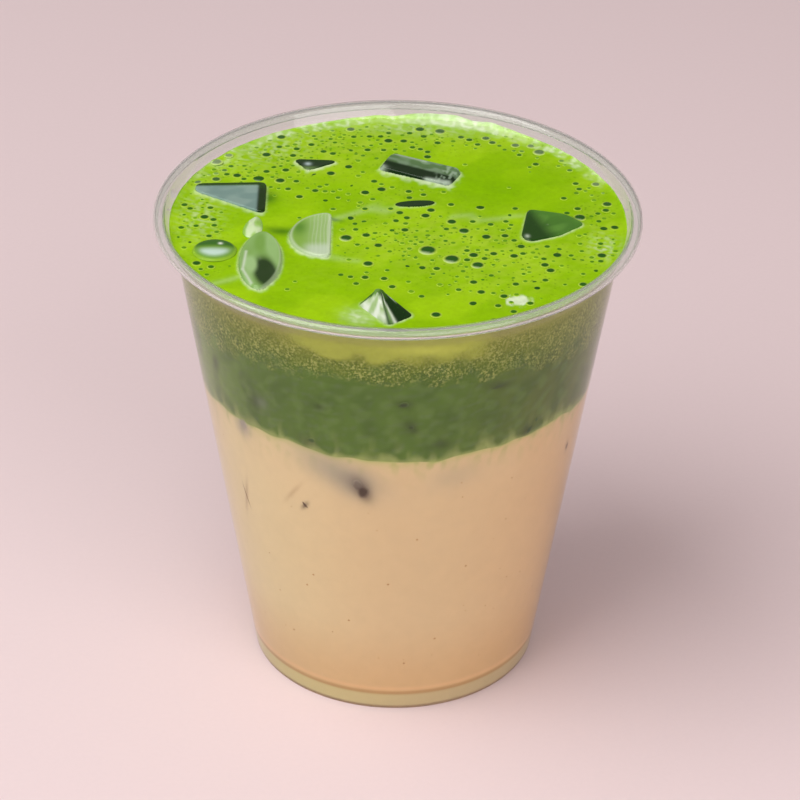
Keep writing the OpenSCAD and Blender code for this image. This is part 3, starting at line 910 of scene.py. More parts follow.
class DRINK_OT_froth(bpy.types.Operator):
    """Make the froth: a fine level face with hollows under the ice, and rings down the wall"""

    bl_idname = "drink.make_froth"
    bl_label = "Froth"

    def fringe(self, name, x, y):
        """The pale foam that clings round a piece of ice, with a painted highlight on it: thin behind it
        and broad in front of it.
        """
        gap, front = edge_facts(name, x, y)
        uneven = 0.62 + 0.38 * ripples(x, y, 2.4, 33)
        breadth = 0.2 + FRINGE_WIDTH.get(name, 0.15) * np.clip(front, 0, 1) * uneven
        fade = np.exp(-((np.clip(gap - 0.05, 0, None) / breadth) ** 2))
        strength = FRINGE_STRENGTH.get(name, 0.75) * (0.6 + 0.4 * np.clip(front, -1, 1))
        return strength * fade * (0.5 + 0.5 * uneven)

    def pale(self, x, y):
        """Share of whitish foam: round the ice, where it also carries a painted highlight, along the back
        wall, in the bubbly zones and streaks.
        """
        r = np.hypot(x, y)
        grain = ramp(ripples(x, y, 1.7, 31), -0.35, 0.8)
        patch = ramp(ripples(x, y, 6, 32), -0.6, 0.5)
        shares = [self.fringe(name, x, y) for name in ICE]
        shares.append(0.6 * ramp(r, 42.6, 44.6) * ramp(y, 12, 26) * (0.3 + 0.7 * grain) * patch)
        shares.append(0.9 * ramp(r, 43.4, 44.8) * spot(x, y, (14, 44), 34, 20) * (0.6 + 0.4 * grain))
        shares.append(0.85 * ramp(spot(x, y, (23.5, -30.2), 5.2, 4.4) + 0.25 * grain, 0.4, 0.75))
        for place, width, height, turn, weight, even in PALE_PATCHES:
            shares.append(weight * spot(x, y, place, width, height, turn) * (even + (1 - even) * grain))
        bent_y = y + 1.3 * ripples(x, y, 14, 35)
        for start, end, width, weight in PALE_STREAKS:
            shares.append(weight * near_line(x, bent_y, start, end, width))
        return np.max(shares, axis=0)

    def face_tint(self, x, y, colour):
        """Bright green, clouded lighter and darker, pale where foam gathers and where a highlight is
        painted round the ice, and dark under the ice as painted shade.
        """
        cloud = ripples(x, y, 16, 41)
        face = blend(np.array(colour), "#A3CE14", 0.55 * ramp(cloud, -0.3, 1.0))
        face = blend(face, "#ACCB3C", 0.6 * crowding(x, y) * (0.6 + 0.4 * ripples(x, y, 3, 42)))
        face = painted(face, x, y, GREEN_DABS)
        face = blend(face, "#DDEACC", self.pale(x, y))
        # Painted shade: the face in the hollow under each piece of ice is painted near-black green, the
        # dark tea seen through the ice.
        return blend(face, "#1E3A12", 1 - ramp(all_outside(x, y), -0.3, -0.14))

    def side_tint(self, o, x, y, z, colour):
        """Against the wall: olive froth that thins into the tea below it, and where it is speckled."""
        along, degrees = round_cup(x, y)
        under = z - o.froth_line(np.arctan2(y, x), 1.0)
        uneven = 1.7 * ripples(along, z, 7, 55) + 0.9 * ripples(along, z, 2.6, 56)
        foam = ramp(under + uneven * ramp(under, 0.3, 2.5), 0.5, 6)
        ground = blend("#5F7418", "#7C8228", ramp(z, 88, 95))
        ground = blend(ground, "#8A8A48", 0.5 * ramp(degrees, 15, 70))
        ground = blend(ground, "#8A9A48", 0.6 * ramp(-degrees, 45, 75))
        side = blend(tea_tint(o, x, y, z, colour), ground, foam)
        side = blend(side, "#A09C50", 0.8 * ramp(z, 94.4, 96.5))
        streak = ramp(z - 93.0 - 1.0 * ripples(along, z, 9, 51), -0.8, 0.8)
        streak *= ramp(degrees, -32, -22) * (1 - ramp(degrees, 18, 27))
        side = blend(side, "#ABAE46", 0.9 * streak)
        side = blend(side, "#C2C455", 0.8 * spot(along, z, (5, 95.4), 12, 2.2, -4))
        patches = ramp(ripples(along, z, 4.5, 57), -1.0, 0.4)
        reach = ramp(under + uneven, -0.5, 3.5)
        return side, reach * (1 - 0.9 * streak) * (0.4 + 0.6 * patches) * (1 - 0.7 * ramp(z, 94, 96.5))

    def execute(self, context):
        o = Outline(context.scene)
        count = FACE_POINTS
        u, v = square_to_disc(count)
        angle = np.arctan2(v, u)
        radius = o.bore(o.froth_top + o.climb(angle))
        x, y = self.at_waterlines(radius * u, radius * v, radius.max() / count)
        gap = all_outside(x, y)
        pale = self.pale(x, y)
        z = o.froth_face(angle, np.hypot(u, v))
        z = z + 0.10 * ripples(x, y, 9, 61) * ramp(gap, 0, 2) + 0.05 * ripples(x, y, 2.5, 62) * pale
        z = z + CLING * np.exp(-((np.clip(gap, 0, None) / 0.5) ** 2))
        z = z - PIT_DEPTH * (1 - ramp(gap, -0.45, -0.13))
        index = np.arange(count * count).reshape(count, count)
        edge = np.concatenate([index[0, :-1], index[:-1, -1], index[-1, :0:-1], index[:0:-1, 0]])
        rim = np.stack([x.ravel()[edge], y.ravel()[edge], z.ravel()[edge]], 1)
        rim_angle = np.arctan2(rim[:, 1], rim[:, 0])
        share = np.linspace(0, 1, 25)[1:, None]
        side_z = rim[:, 2] * (1 - share) + o.froth_line(rim_angle, 1.0) * share
        side = around(o.bore(side_z), rim_angle, side_z)
        first = count * count
        below = first + np.arange(side_z.size).reshape(side_z.shape)
        rings = np.vstack([edge[None], below])
        face = np.stack([x, y, z], -1).reshape(-1, 3)
        points = np.vstack([face, side.reshape(-1, 3), [[0, 0, o.froth_level + GAP]]])
        quads = np.vstack([strip(index, wrap=False), strip(rings)])
        tris = fan(rings[-1], len(points) - 1)
        face_colour = self.face_tint(x.ravel(), y.ravel(), context.scene.drink_colours.froth)
        tea = context.scene.drink_colours.matcha
        side_colour, speckled = self.side_tint(o, *side.reshape(-1, 3).T, tea)
        bubbly = 0.85 * crowding(x, y) * ramp(gap, 0.3, 1.2) * (1 - 0.6 * pale)
        piece = make_piece(
            "froth_layer",
            points,
            quads,
            tris,
            numbers={
                "Bubbly": np.concatenate([bubbly.ravel(), np.zeros(side_z.size + 1)]),
                "Speckled": np.concatenate([np.zeros(first), speckled, [0]]),
            },
            colours={"Tint": np.vstack([face_colour, side_colour, [side_colour[-1]]])},
            sharp=70,
        )
        finished(piece, froth_material(), "froth", "froth")
        return {"FINISHED"}

    def at_waterlines(self, x, y, reach):
        """The grid with the points near an ice outline moved straight to 0.1 mm inside it."""
        step, inside = 0.05, 0.1
        gap = all_outside(x, y) + inside
        close = np.abs(gap) < reach
        slope_x = (all_outside(x + step, y) + inside - gap) / step
        slope_y = (all_outside(x, y + step) + inside - gap) / step
        return x - close * gap * slope_x, y - close * gap * slope_y


# ---------------------------------------------------------------- bubbles


def bubble_shells(o, x, y, size, proud, segments=12):
    """Closed lenses lying in the froth: rings at shares of each radius, and a point below.

    The height above the froth is proud times the size times 1 less the share squared."""
    shares = np.array([0.3, 0.6, 0.85, 1.0])
    turn = turns(segments)
    rad = size[:, None, None] / 2 * shares[:, None]
    px = x[:, None, None] + rad * np.cos(turn)
    py = y[:, None, None] + rad * np.sin(turn)
    level = o.froth_face(np.arctan2(y, x), np.hypot(x, y) / o.bore(o.froth_top))[:, None, None]
    rise = (proud * size)[:, None, None] * (1 - shares[:, None] ** 2)
    pz = level + rise + 0.08 * (1 - shares[:, None] ** 6) - 0.02 + 0 * px
    rings = np.stack([px, py, pz], -1)
    poles = np.stack([x, y, level[:, 0, 0] + proud * size + 0.06], -1)
    roots = np.stack([x, y, level[:, 0, 0] - 0.35 * size - 0.1], -1)
    return many_shells(rings, poles, roots)


class DRINK_OT_bubbles(bpy.types.Operator):
    """Make the froth's bubbles: the large ones one by one, the small ones by chance where they crowd"""

    bl_idname = "drink.make_bubbles"
    bl_label = "Bubbles"

    def places(self, o, wanted):
        """The large bubbles, and small ones kept by chance where they crowd, clear of these and the ice."""
        draw = np.random.default_rng(SEED)
        tries = 40000  # far more than are kept
        r = (o.bore(o.froth_top) - 1.3) * np.sqrt(draw.uniform(0, 1, tries))
        angle = draw.uniform(0, 2 * np.pi, tries)
        x, y = r * np.cos(angle), r * np.sin(angle)
        size = np.clip(draw.lognormal(0.35, 0.3, tries), 0.8, 2.4)
        fits = draw.uniform(0, 1, tries) < crowding(x, y) ** 1.3
        fits &= all_outside(x, y) > 0.35 + size / 2
        x, y, size = x[fits], y[fits], size[fits]
        big = np.array(BIG_BUBBLES + [DOME])
        kept = [tuple(row) for row in big]
        for spot_x, spot_y, wide in zip(x, y, size):
            if len(kept) >= wanted + len(big):
                break
            known = np.array(kept)
            apart = np.hypot(known[:, 0] - spot_x, known[:, 1] - spot_y) - (known[:, 2] + wide) / 2
            if apart.min() > 0.12:
                kept.append((spot_x, spot_y, wide))
        found = np.array(kept)
        return found[np.arange(len(found)) != len(big) - 1]

    def execute(self, context):
        o = Outline(context.scene)
        x, y, size = self.places(o, context.scene.drink_layers.bubbles).T
        points, quads, tris = bubble_shells(o, x, y, size, 0.02)
        draw = np.random.default_rng(SEED + 1)
        across = np.hypot(points[..., 0] - x[:, None], points[..., 1] - y[:, None]) / size[:, None] * 2
        near = (y[:, None] - points[..., 1]) / size[:, None] * 2
        deep = blend("#4C8A08", "#215410", ramp(size, 0.7, 2.4))[:, None]
        deep = blend(deep, "#7DB010", (draw.uniform(0, 0.7, len(x)) * (size < 1.5))[:, None])
        colours = blend(deep, "#B4D640", ramp(across, 0.62, 0.95))
        left = (x[:, None] - points[..., 0]) / size[:, None] * 2
        glint = ramp(near + 0.35 * left, 0.35, 0.85) * ramp(across, 0.25, 0.5)
        glint *= ramp(size, 2.2, 3.4)[:, None]
        colours = blend(colours, "#C6DCA8", 0.8 * glint * (1 - ramp(across, 0.8, 1.0)))
        foam = ramp(np.hypot(x, y), 39, 44) * ramp(y, 5, 24) * draw.uniform(0, 1, len(x))
        colours = blend(colours, "#D9E8B8", 0.3 * foam[:, None] * np.ones_like(across))
        piece = make_piece("froth_bubbles", points.reshape(-1, 3), quads, tris, colours={"Tint": colours})
        finished(piece, bubble_material(), "froth")
        self.dome(o)
        return {"FINISHED"}

    def dome(self, o):
        """The one large bubble at the left: a film dome, dark behind and whitish in front as a painted
        reflection, and its rim.
        """
        place, size, proud = np.array(DOME[:2]), DOME[2], 0.9
        share = np.linspace(0.06, 1, 18)[:, None]
        turn = turns(72)
        x = place[0] + size / 2 * share * np.cos(turn)
        y = place[1] + size / 2 * share * np.sin(turn)
        z = o.froth_top + proud * np.sqrt(np.clip(1 - share**2, 0, 1)) + 0.02 + 0 * x
        rings = np.stack([x, y, z], -1)
        top = [*place, o.froth_top + proud + 0.02]
        points, quads, tris = ring_shell(rings, top, [*place, o.froth_top - 0.9])
        side = (points[:, 1] - place[1]) / size * 2
        across = np.hypot(points[:, 0] - place[0], points[:, 1] - place[1]) / size * 2
        # Lighter towards the front and whitish blue in front: a painted reflection of the bright room in
        # the film. The glint is a painted highlight.
        film = blend("#36691A", "#6F9A3A", ramp(-side, -0.35, 0.1))
        film = blend(film, "#BCD6C8", ramp(-side, -0.1, 0.4) * (1 - ramp(across, 0.5, 0.86)))
        film = blend(film, "#8DB52E", ramp(across, 0.84, 0.97))
        glint = spot(points[:, 0], points[:, 1], place + [1.1, 1.6], 0.8, 1.0)
        film = blend(film, "#EAF4E2", glint)
        piece = make_piece("froth_dome", points, quads, tris, colours={"Tint": film})
        finished(piece, bubble_material(), "froth")


# ---------------------------------------------------------------- ice


def ice_shell(o, name):
    """A piece of ice as rings: a crown, a melted shoulder, the widest level under the froth and a foot.

    Each ring is the swept plan at a level's share, shift and height; the crown fills in to its middle."""
    plan, place, turn, lift, crown_share, crown_shift, slope, foot_shift = ICE[name]
    dip = 0.10 * min(1, lift)  # how far the crown's middle lies below its edge
    plan, slope = np.array(plan, float), np.array(slope)
    crown_shift, foot_shift = np.array(crown_shift), np.array(foot_shift)
    chamfer = ICE_ROUND / 2
    crown = o.froth_top + lift
    water = o.froth_top - 2 * ICE_ROUND
    foot = o.froth_top - ICE_SINK
    middle = swept(plan * crown_share, 0.05).mean(axis=0) + crown_shift
    wide = swept(plan * crown_share, ICE_ROUND - 0.3 * chamfer) + crown_shift
    shoulder = swept(plan * crown_share, ICE_ROUND) + crown_shift
    levels = []
    for share in np.linspace(0.04, 1, 26):
        level = middle + share * (swept(plan * crown_share, ICE_ROUND - chamfer) + crown_shift - middle)
        tilt = slope[0] * level[:, 0] + slope[1] * level[:, 1]
        levels.append((level, crown + tilt - dip * (1 - share**2)))
    tilt = slope[0] * shoulder[:, 0] + slope[1] * shoulder[:, 1]
    levels.append((wide, crown + tilt - 0.12 * chamfer - 0.02))
    levels.append((shoulder, crown + tilt - chamfer))
    base = swept(plan, ICE_ROUND)
    start = crown + tilt - chamfer
    for share in np.linspace(0, 1, 7)[1:]:
        levels.append((shoulder * (1 - share) + base * share, start * (1 - share) + water * share))
    low = swept(plan * ICE_FOOT, ICE_ROUND) + foot_shift
    for share in np.linspace(0, 1, 6)[1:]:
        levels.append((base * (1 - share) + low * share, water * (1 - share) + (foot + chamfer) * share))
    levels.append((swept(plan * ICE_FOOT, ICE_ROUND - chamfer) + foot_shift, foot + 0 * tilt))
    flat = np.array([level for level, _ in levels])
    heights = np.array([np.broadcast_to(z, level.shape[:1]) for level, z in levels])
    spots = np.array(place) + turned(flat, turn)
    rings = np.concatenate([spots, heights[..., None]], -1)
    pole = [*(np.array(place) + turned(middle, turn)), crown + slope @ middle - dip]
    foot_pole = [*(np.array(place) + turned(foot_shift, turn)), foot]
    points, quads, tris = ring_shell(rings, pole, foot_pole)
    local = np.vstack([flat.reshape(-1, 2), [middle], [foot_shift]])
    return points, quads, tris, local


def ice_look(name, o, points, local):
    """Tint and opaque share of a piece of ice: clear below the froth; above it cloudy white and frozen-in
    lines, painted reflections and highlights, and dark painted shade of the tea seen through it.
    """
    u, v = local.T
    top = ramp(points[:, 2], o.froth_top - 0.9, o.froth_top - 0.1)
    clear = "#A9C49A"
    veil_and_light, haze_and_light = "#A8BDB4", 0 * u
    if name == "ice_slab":
        # A blue-grey painted reflection of the bright room on the crown, and dark green painted shade of
        # the tea seen through the back and right edges.
        veil_and_light = blend("#7C9A92", "#8CA89E", ramp(ripples(u, 2 * v, 7, 72), -0.6, 0.8))
        inner = ramp(5.6 - v, 0, 1.2) * ramp(6.3 - u, 0, 1.1)
        haze_and_light = 0.84 * inner
        veil_and_light = blend("#24420F", veil_and_light, ramp(inner, 0.1, 0.7))
        haze_and_light = np.maximum(haze_and_light, 0.55 * (1 - inner))
        veil_and_light = blend(veil_and_light, "#BCD2C8", 0.8 * ramp(-v - 0.5 * u, 2.4, 5.0) * ramp(-v, -2.5, 0))
    elif name == "ice_sliver":
        # Dark green painted shade of the tea seen through it, with a pale blue painted glint.
        veil_and_light, haze_and_light = "#173610", 0.8 + 0 * u
        veil_and_light = blend(veil_and_light, "#C2D8D8", 0.9 * spot(u, v, (-1.5, 0.4), 1.3, 1.4))
        veil_and_light = blend(veil_and_light, "#7FA35C", 0.6 * spot(u, v, (-1.4, -1.4), 4, 1.6))
    elif name == "ice_ridge":
        # Dark green painted shade of the tea seen through it.
        veil_and_light, haze_and_light = "#173610", 0.85 + 0 * u
    elif name == "ice_bar":
        # The upper facet is a grey-green painted reflection, patchy where the facet is worn; the band in
        # front of it is dark painted shade of the tea seen through; the glassy right end has painted
        # highlights.
        upper = ramp(v, -0.5, 0.5)
        worn = ramp(ripples(u, 1.5 * v, 4, 73), -0.5, 0.8)
        veil_and_light = blend("#12300C", blend("#5A7A4E", "#7C9878", worn), upper)
        haze_and_light = 0.7 + 0.08 * upper
        glass = ramp(u, 3.0, 5.5) * ramp(ripples(1.5 * u, v, 2.0, 74), 0.05, 0.7)
        veil_and_light = blend(veil_and_light, "#A9C2A8", 0.7 * glass)
        veil_and_light = blend(veil_and_light, "#BACFB8", 0.7 * near_line(u, v, (-8, 3.0), (0, 2.9), 0.35))
        low = spot(u, v, (-7.6, -2.6), 2.2, 1.5) + near_line(u, v, (3, -3.2), (8, -2.4), 0.7)
        veil_and_light = blend(veil_and_light, "#CFE3CF", 0.8 * np.clip(low, 0, 1))
    elif name == "ice_wedge":
        # Dark green painted shade of the tea seen through it, darker at the left, with a small pale painted
        # glint at the front left.
        veil_and_light = blend("#4C8228", "#5F9636", ramp(ripples(u, v, 5, 75), -0.5, 0.8))
        veil_and_light = blend("#1F4A08", veil_and_light, ramp(u + 0.4 * v, -3.8, 0.6))
        haze_and_light = 0.78 + 0 * u
        veil_and_light = blend(veil_and_light, "#C9DCC4", 0.9 * spot(u, v, (-5.2, -4.6), 0.9, 1.3))
    elif name == "ice_fan":
        lines = ramp(np.sin(8.5 * u + 1.2 * ripples(u, 0.4 * v, 4, 76)), 0.0, 1.0) * ramp(u, -0.6, 1.4)
        veil_and_light = blend("#8DBA4A", "#C9DFB4", 0.3 * ramp(u, -2, 2) + 0.28 * lines)
        veil_and_light = blend(veil_and_light, "#DDEBDA", 0.6 * ramp(-v, 2.5, 5.5) * ramp(u, -2, 1))
        veil_and_light = blend(veil_and_light, "#4C8420", 0.75 * spot(u, v, (-1.9, 2.6), 3.2, 5.6))
        haze_and_light = 0.82 + 0 * u
        rim = ramp(-outside(name, points[:, 0], points[:, 1]), 1.1, 0.3)
        veil_and_light = blend(veil_and_light, "#CFE2BC", 0.7 * rim)
    elif name == "ice_leaf":
        cloud = ramp(ripples(0.5 * u, 1.5 * v, 7, 77), -1.2, 1.4)
        veil_and_light = blend("#7DAA4C", "#9CC47A", cloud)
        haze_and_light = 0.84 + 0 * u
        # The near-black core is painted shade of the tea seen through the ice.
        core = ramp(spot(u, v, (-5.4, -1.2), 12, 4.6, 10), 0.12, 0.6)
        veil_and_light = blend(veil_and_light, "#17330C", 0.95 * core)
        inner = ramp(spot(u, v, (-2.0, 1.9), 7.6, 3.0, 6), 0.2, 0.8)
        veil_and_light = blend(veil_and_light, "#A6CC88", inner)
        edge = near_line(u, v, (3.0, 2.9), (-4, 3.3), 0.3)
        edge += near_line(u, v, (-4, 3.3), (-9.5, 1.4), 0.3)
        veil_and_light = blend(veil_and_light, "#DCEBD0", 0.75 * np.clip(edge, 0, 1))
        rim = ramp(-outside(name, points[:, 0], points[:, 1]), 0.9, 0.2) * ramp(-v, -1.5, 1)
        veil_and_light = blend(veil_and_light, "#C4DBAE", 0.7 * rim)
    elif name == "ice_peak":
        # The lit facet is a whitish painted highlight and the band on its shaded side is dark painted
        # shade; the lines along its edges are a painted dark edge and painted highlights.
        apex = points[np.argmax(points[:, 2])]
        side, ahead = points[:, 0] - apex[0], points[:, 1] - apex[1]
        round_apex = np.degrees(np.arctan2(ahead, side))
        streak = ramp(ripples(2 * side, ahead, 3.2, 78), -0.7, 0.9)
        veil_and_light = blend("#3C651A", "#6E9A48", streak)
        facet = ramp(-round_apex, 70, 84) * ramp(np.hypot(side, ahead), 0.1, 1.0)
        veil_and_light = blend(veil_and_light, blend("#A6C486", "#E6EFDF", streak), facet)
        band = ramp(-round_apex, 14, 20) * ramp(round_apex, -68, -60)
        veil_and_light = blend(veil_and_light, "#12300C", band)
        for at, width, code in ((-76, 3, "#1F4410"), (-66, 3, "#E4EFDC"), (-13, 4, "#C9DCC0")):
            veil_and_light = blend(veil_and_light, code, 0.85 * np.exp(-(((round_apex - at) / width) ** 2)))
        haze_and_light = 0.84 + 0 * u
    haze_and_light = np.clip(haze_and_light, 0, 0.95) * top
    return blend(clear, veil_and_light, np.clip(3 * haze_and_light, 0, 1)), haze_and_light


class DRINK_OT_ice(bpy.types.Operator):
    """Make the eight pieces of ice that break the froth, and the chip between two of them"""

    bl_idname = "drink.make_ice"
    bl_label = "Ice"

    def execute(self, context):
        o = Outline(context.scene)
        material = ice_material()
        for name in ICE:
            points, quads, tris, local = ice_shell(o, name)
            tint, haze_and_light = ice_look(name, o, points, local)
            looks = {"numbers": {"HazeAndPaintedLight": haze_and_light}, "colours": {"Tint": tint}}
            piece = make_piece("melted_" + name, points, quads, tris, sharp=80, **looks)
            finished(piece, material, "ice", name)
        self.chip(o, material)
        return {"FINISHED"}

    def chip(self, o, material):
        """A small milky chip: a ball squeezed flat, pulled to a point at the back and ribbed."""
        across = np.radians(np.linspace(6, 174, 20))[:, None]
        turn = turns(48)
        x = 1.9 * np.sin(across) * np.cos(turn) * (1 - 0.25 * np.sin(turn))
        y = 4.2 * np.sin(across) * np.sin(turn)
        z = 0.8 * np.cos(across) + 0.06 * np.sin(5 * turn) * np.sin(across)
        place = [-28.9, -2.4, o.froth_top + 0.1]
        rings = np.stack([x + 0.12 * y, y, z + 0 * x], -1) + place
        high, low = np.add(place, [0, 0, 0.8]), np.add(place, [0, 0, -0.8])
        points, quads, tris = ring_shell(rings, high, low)
        streak = ramp(ripples(points[:, 0], 0.4 * points[:, 1], 3.0, 81), -0.6, 0.6)
        tint = blend("#A0C862", "#D5E8BC", streak)
        haze_and_light = {"HazeAndPaintedLight": 0.65 + 0.2 * streak}
        piece = make_piece("ice_chip", points, quads, tris, haze_and_light, {"Tint": tint})
        finished(piece, material, "ice")


# ---------------------------------------------------------------- sunk pieces and specks


# Sunk in the liquids against the wall: degrees round from the front, height, width, height of the piece
# and its turn in degrees, and its colour.
SUNK = [
    (-9.4, 59.2, 2.4, 3.4, -25, "#4A3728"), (-11.0, 61.0, 2.0, 2.6, 30, "#7A6C5E"),
    (-28.3, 52.9, 0.9, 2.2, 40, "#5A4230"), (-54.5, 47.5, 0.5, 7.5, 16, "#9A7A56"),
    (64, 57.2, 1.1, 2.0, -20, "#6E4E36"), (-49, 67.4, 3.0, 3.0, 0, "#A3988A"),
    (1.9, 82.0, 2.2, 1.3, 10, "#34431C"), (4.2, 76.3, 1.1, 1.0, 0, "#37471F"),
    (27.5, 83.7, 3.2, 0.9, 8, "#42512A"), (40.6, 69.6, 1.1, 2.2, -35, "#2F4A1E"),
    (42.8, 71.4, 0.7, 1.2, 20, "#35502A"), (-24, 70.5, 1.8, 1.2, 0, "#3D5526"),
    (150, 61, 3.4, 4.0, 20, "#6B5848"), (118, 52, 1.2, 3.0, -30, "#5A4230"),
    (-140, 57, 2.6, 3.6, -15, "#5F4C3C"), (-112, 74, 2.4, 2.0, 10, "#3B4A22"),
    (165, 78, 2.6, 1.6, -10, "#38481F"), (95, 79, 1.8, 1.4, 20, "#3B4A22"),
]
# Brown specks in the milk: degrees round from the front and height.
SPECKS = [
    (-40, 16.4), (-2, 35), (15, 19.3), (-28, 34.4), (-31, 31), (7, 47), (-16, 24), (4, 13), (24, 38),
]
SMALL_SPECKS = 90  # how many smaller ones are scattered besides
LUMP_ACROSS = np.radians(np.linspace(12, 168, 9))  # angles from one pole of a lump to the other
LUMP_SIDES = 14  # points round a lump


def wall_lumps(o, rows):
    """Flat lenses against the wall, each a ball squeezed to 0.24 mm and bent to the wall's curve."""
    rows = np.array(rows, float)
    across = LUMP_ACROSS[:, None]
    turn = turns(LUMP_SIDES)
    degrees, height, width, tall, tilt = (rows[:, i, None, None] for i in range(5))
    a = width / 2 * np.sin(across) * np.cos(turn)
    b = tall / 2 * np.sin(across) * np.sin(turn) * (1 + 0.25 * np.cos(turn))
    lean = np.radians(tilt)
    side = a * np.cos(lean) - b * np.sin(lean)
    up = height + a * np.sin(lean) + b * np.cos(lean)

    def on_wall(side, up, depth):
        """Places a distance round the wall from a lump's middle, at a height and a depth into it."""
        r = o.bore(up) + depth
        angle = np.radians(degrees) + side / r
        return np.stack([r * np.sin(angle), -r * np.cos(angle), up + 0 * angle], -1)

    rings = on_wall(side, up, 0.12 * np.cos(across) + 0 * side)
    outer = on_wall(0 * side[:, :1, :1], height, 0.12)[:, 0, 0]
    inner = on_wall(0 * side[:, :1, :1], height, -0.12)[:, 0, 0]
    return many_shells(rings, outer, inner)


class DRINK_OT_sunk(bpy.types.Operator):
    """Make what lies in the liquids against the wall: sunken ice and leaf clots, and brown milk specks"""

    bl_idname = "drink.make_sunk"
    bl_label = "Sunken ice and specks"

    def execute(self, context):
        o = Outline(context.scene)
        points, quads, tris = wall_lumps(o, [row[:5] for row in SUNK])
        rounds = np.repeat(np.sin(LUMP_ACROSS), LUMP_SIDES)
        middle = np.append(1 - ramp(rounds, 0.45, 0.97), [1, 1])
        colours = context.scene.drink_colours
        x, y, z = points.reshape(-1, 3).T
        in_milk = z < o.milk_line(np.arctan2(y, x), 1.0)
        milk = milk_tint(o, x, y, z, colours.milk)
        tea = tea_tint(o, x, y, z, colours.matcha)
        round_it = np.where(in_milk[:, None], milk, tea)
        own = np.repeat([linear(row[5]) for row in SUNK], points.shape[1], axis=0)
        tint = blend(round_it, own, 0.9 * np.tile(middle, len(SUNK)))
        material = speck_material()
        piece = make_piece("sunken_ice", points.reshape(-1, 3), quads, tris, colours={"Tint": tint})
        finished(piece, material, "ice")
        draw = np.random.default_rng(SEED + 2)
        more = np.stack([draw.uniform(-180, 180, SMALL_SPECKS), draw.uniform(8, 62, SMALL_SPECKS)], 1)
        places = np.vstack([SPECKS, more])
        size = np.concatenate([np.full(len(SPECKS), 0.5), draw.uniform(0.2, 0.36, SMALL_SPECKS)])
        rows = np.column_stack([places, size, size * 0.9, draw.uniform(0, 90, len(size))])
        points, quads, tris = wall_lumps(o, rows)
        tint = np.ones_like(points) * linear("#B98F62")
        piece = make_piece("milk_specks", points.reshape(-1, 3), quads, tris, colours={"Tint": tint})
        finished(piece, material, "milk")
        return {"FINISHED"}


# ---------------------------------------------------------------- stage


def area_light(name, place, target, size, power, colour):
    """A square lamp at a place, turned towards a target, in metres and watts."""
    lamp = bpy.data.lights.new(name, "AREA")
    lamp.shape = "SQUARE"
    lamp.size = size
    lamp.energy = power
    lamp.color = colour
    made = bpy.data.objects.new(name, lamp)
    bpy.context.scene.collection.objects.link(made)
    away = np.subtract(place, target)
    away = away / np.linalg.norm(away)
    side = np.cross([0, 0, 1], away)
    side = side / np.linalg.norm(side)
    turn = Matrix(np.stack([side, np.cross(away, side), away], 1).tolist()).to_4x4()
    made.matrix_world = Matrix.Translation(place) @ turn
    return made


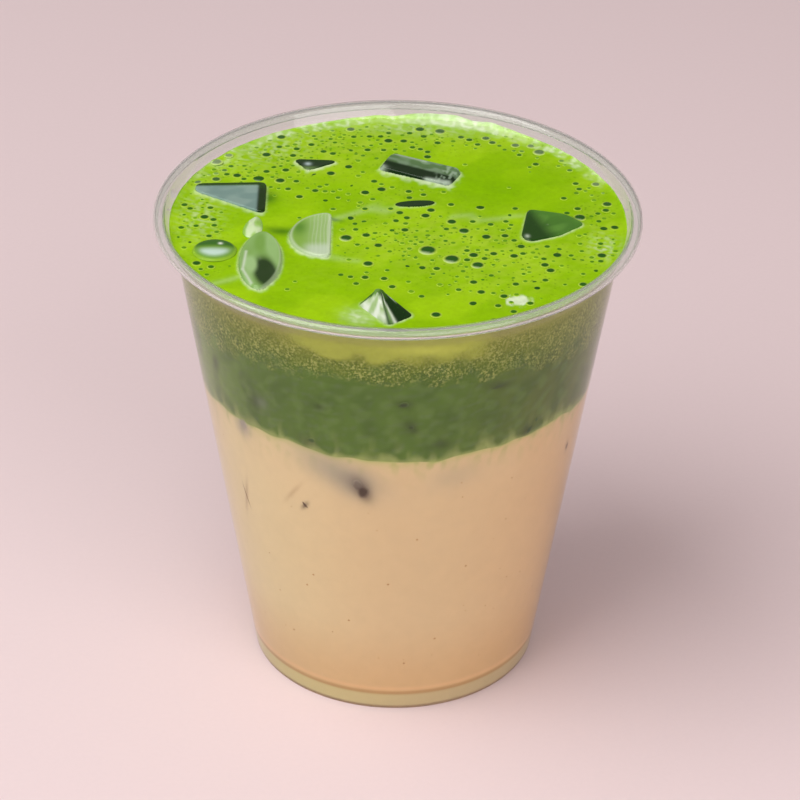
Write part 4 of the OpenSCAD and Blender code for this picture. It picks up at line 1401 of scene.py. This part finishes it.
class DRINK_OT_stage(bpy.types.Operator):
    """Make the pink paper, the soft lights and the camera"""

    bl_idname = "drink.make_stage"
    bl_label = "Stage"

    def execute(self, context):
        scene = context.scene
        half = 4.0  # half the paper's side, in metres
        corners = [(-half, -half, 0), (half, -half, 0), (half, half, 0), (-half, half, 0)]
        mesh = bpy.data.meshes.new("paper_floor")
        mesh.from_pydata(corners, [], [(0, 1, 2, 3)])
        floor = bpy.data.objects.new("paper_floor", mesh)
        mesh.materials.append(paper_material(scene.drink_colours.backdrop))
        scene.collection.objects.link(floor)

        area_light("key_light", (-0.46, -0.28, 0.86), (0, 0, 0.05), 0.85, 8.1, (1.0, 0.99, 0.98))
        area_light("fill_light", (0.60, -1.1, 0.60), (0, 0, 0.05), 1.2, 8.4, (1.0, 0.975, 0.97))

        world = bpy.data.worlds.new("soft_room")
        world.use_nodes = True
        world.node_tree.nodes["Background"].inputs["Color"].default_value = (1.0, 0.87, 0.86, 1)
        world.node_tree.nodes["Background"].inputs["Strength"].default_value = 0.32
        scene.world = world

        lens = bpy.data.cameras.new("camera")
        lens.lens = 163.2
        lens.clip_start = 0.01
        camera = bpy.data.objects.new("camera", lens)
        scene.collection.objects.link(camera)
        pitch, yaw, roll = np.radians([90 - 31.433, -0.073, 0.663])
        place = Matrix.Translation((0.0, -0.6390, 0.4478))
        aim = Matrix.Rotation(yaw, 4, "Z") @ Matrix.Rotation(pitch, 4, "X")
        camera.matrix_world = place @ aim @ Matrix.Rotation(roll, 4, "Z")
        scene.camera = camera
        scene.view_settings.view_transform = "Standard"
        return {"FINISHED"}


# ---------------------------------------------------------------- panel and run


class DRINK_PT_panel(bpy.types.Panel):
    """Everything that the drink is made from"""

    bl_idname = "DRINK_PT_panel"
    bl_label = "Iced matcha latte"
    bl_space_type = "VIEW_3D"
    bl_region_type = "UI"
    bl_category = "Drink"

    def draw(self, context):
        for group in (context.scene.drink_cup, context.scene.drink_layers, context.scene.drink_colours):
            for key in group.bl_rna.properties.keys():
                if key not in ("rna_type", "name"):
                    self.layout.prop(group, key)
        for operator in OPERATORS:
            self.layout.operator(operator.bl_idname)


GROUPS = {"drink_cup": DrinkCupSizes, "drink_layers": DrinkLayers, "drink_colours": DrinkColours}
OPERATORS = [
    DRINK_OT_stage,
    DRINK_OT_cup,
    DRINK_OT_milk,
    DRINK_OT_matcha,
    DRINK_OT_froth,
    DRINK_OT_bubbles,
    DRINK_OT_ice,
    DRINK_OT_sunk,
]


def register():
    for made in [*GROUPS.values(), *OPERATORS, DRINK_PT_panel]:
        bpy.utils.register_class(made)
    for key, group in GROUPS.items():
        setattr(bpy.types.Scene, key, bpy.props.PointerProperty(type=group))


def unregister():
    for key in GROUPS:
        delattr(bpy.types.Scene, key)
    for made in [DRINK_PT_panel, *OPERATORS[::-1], *GROUPS.values()]:
        bpy.utils.unregister_class(made)


def main():
    register()
    for operator in OPERATORS:
        group, name = operator.bl_idname.split(".")
        getattr(getattr(bpy.ops, group), name)()


if __name__ == "__main__":
    main()
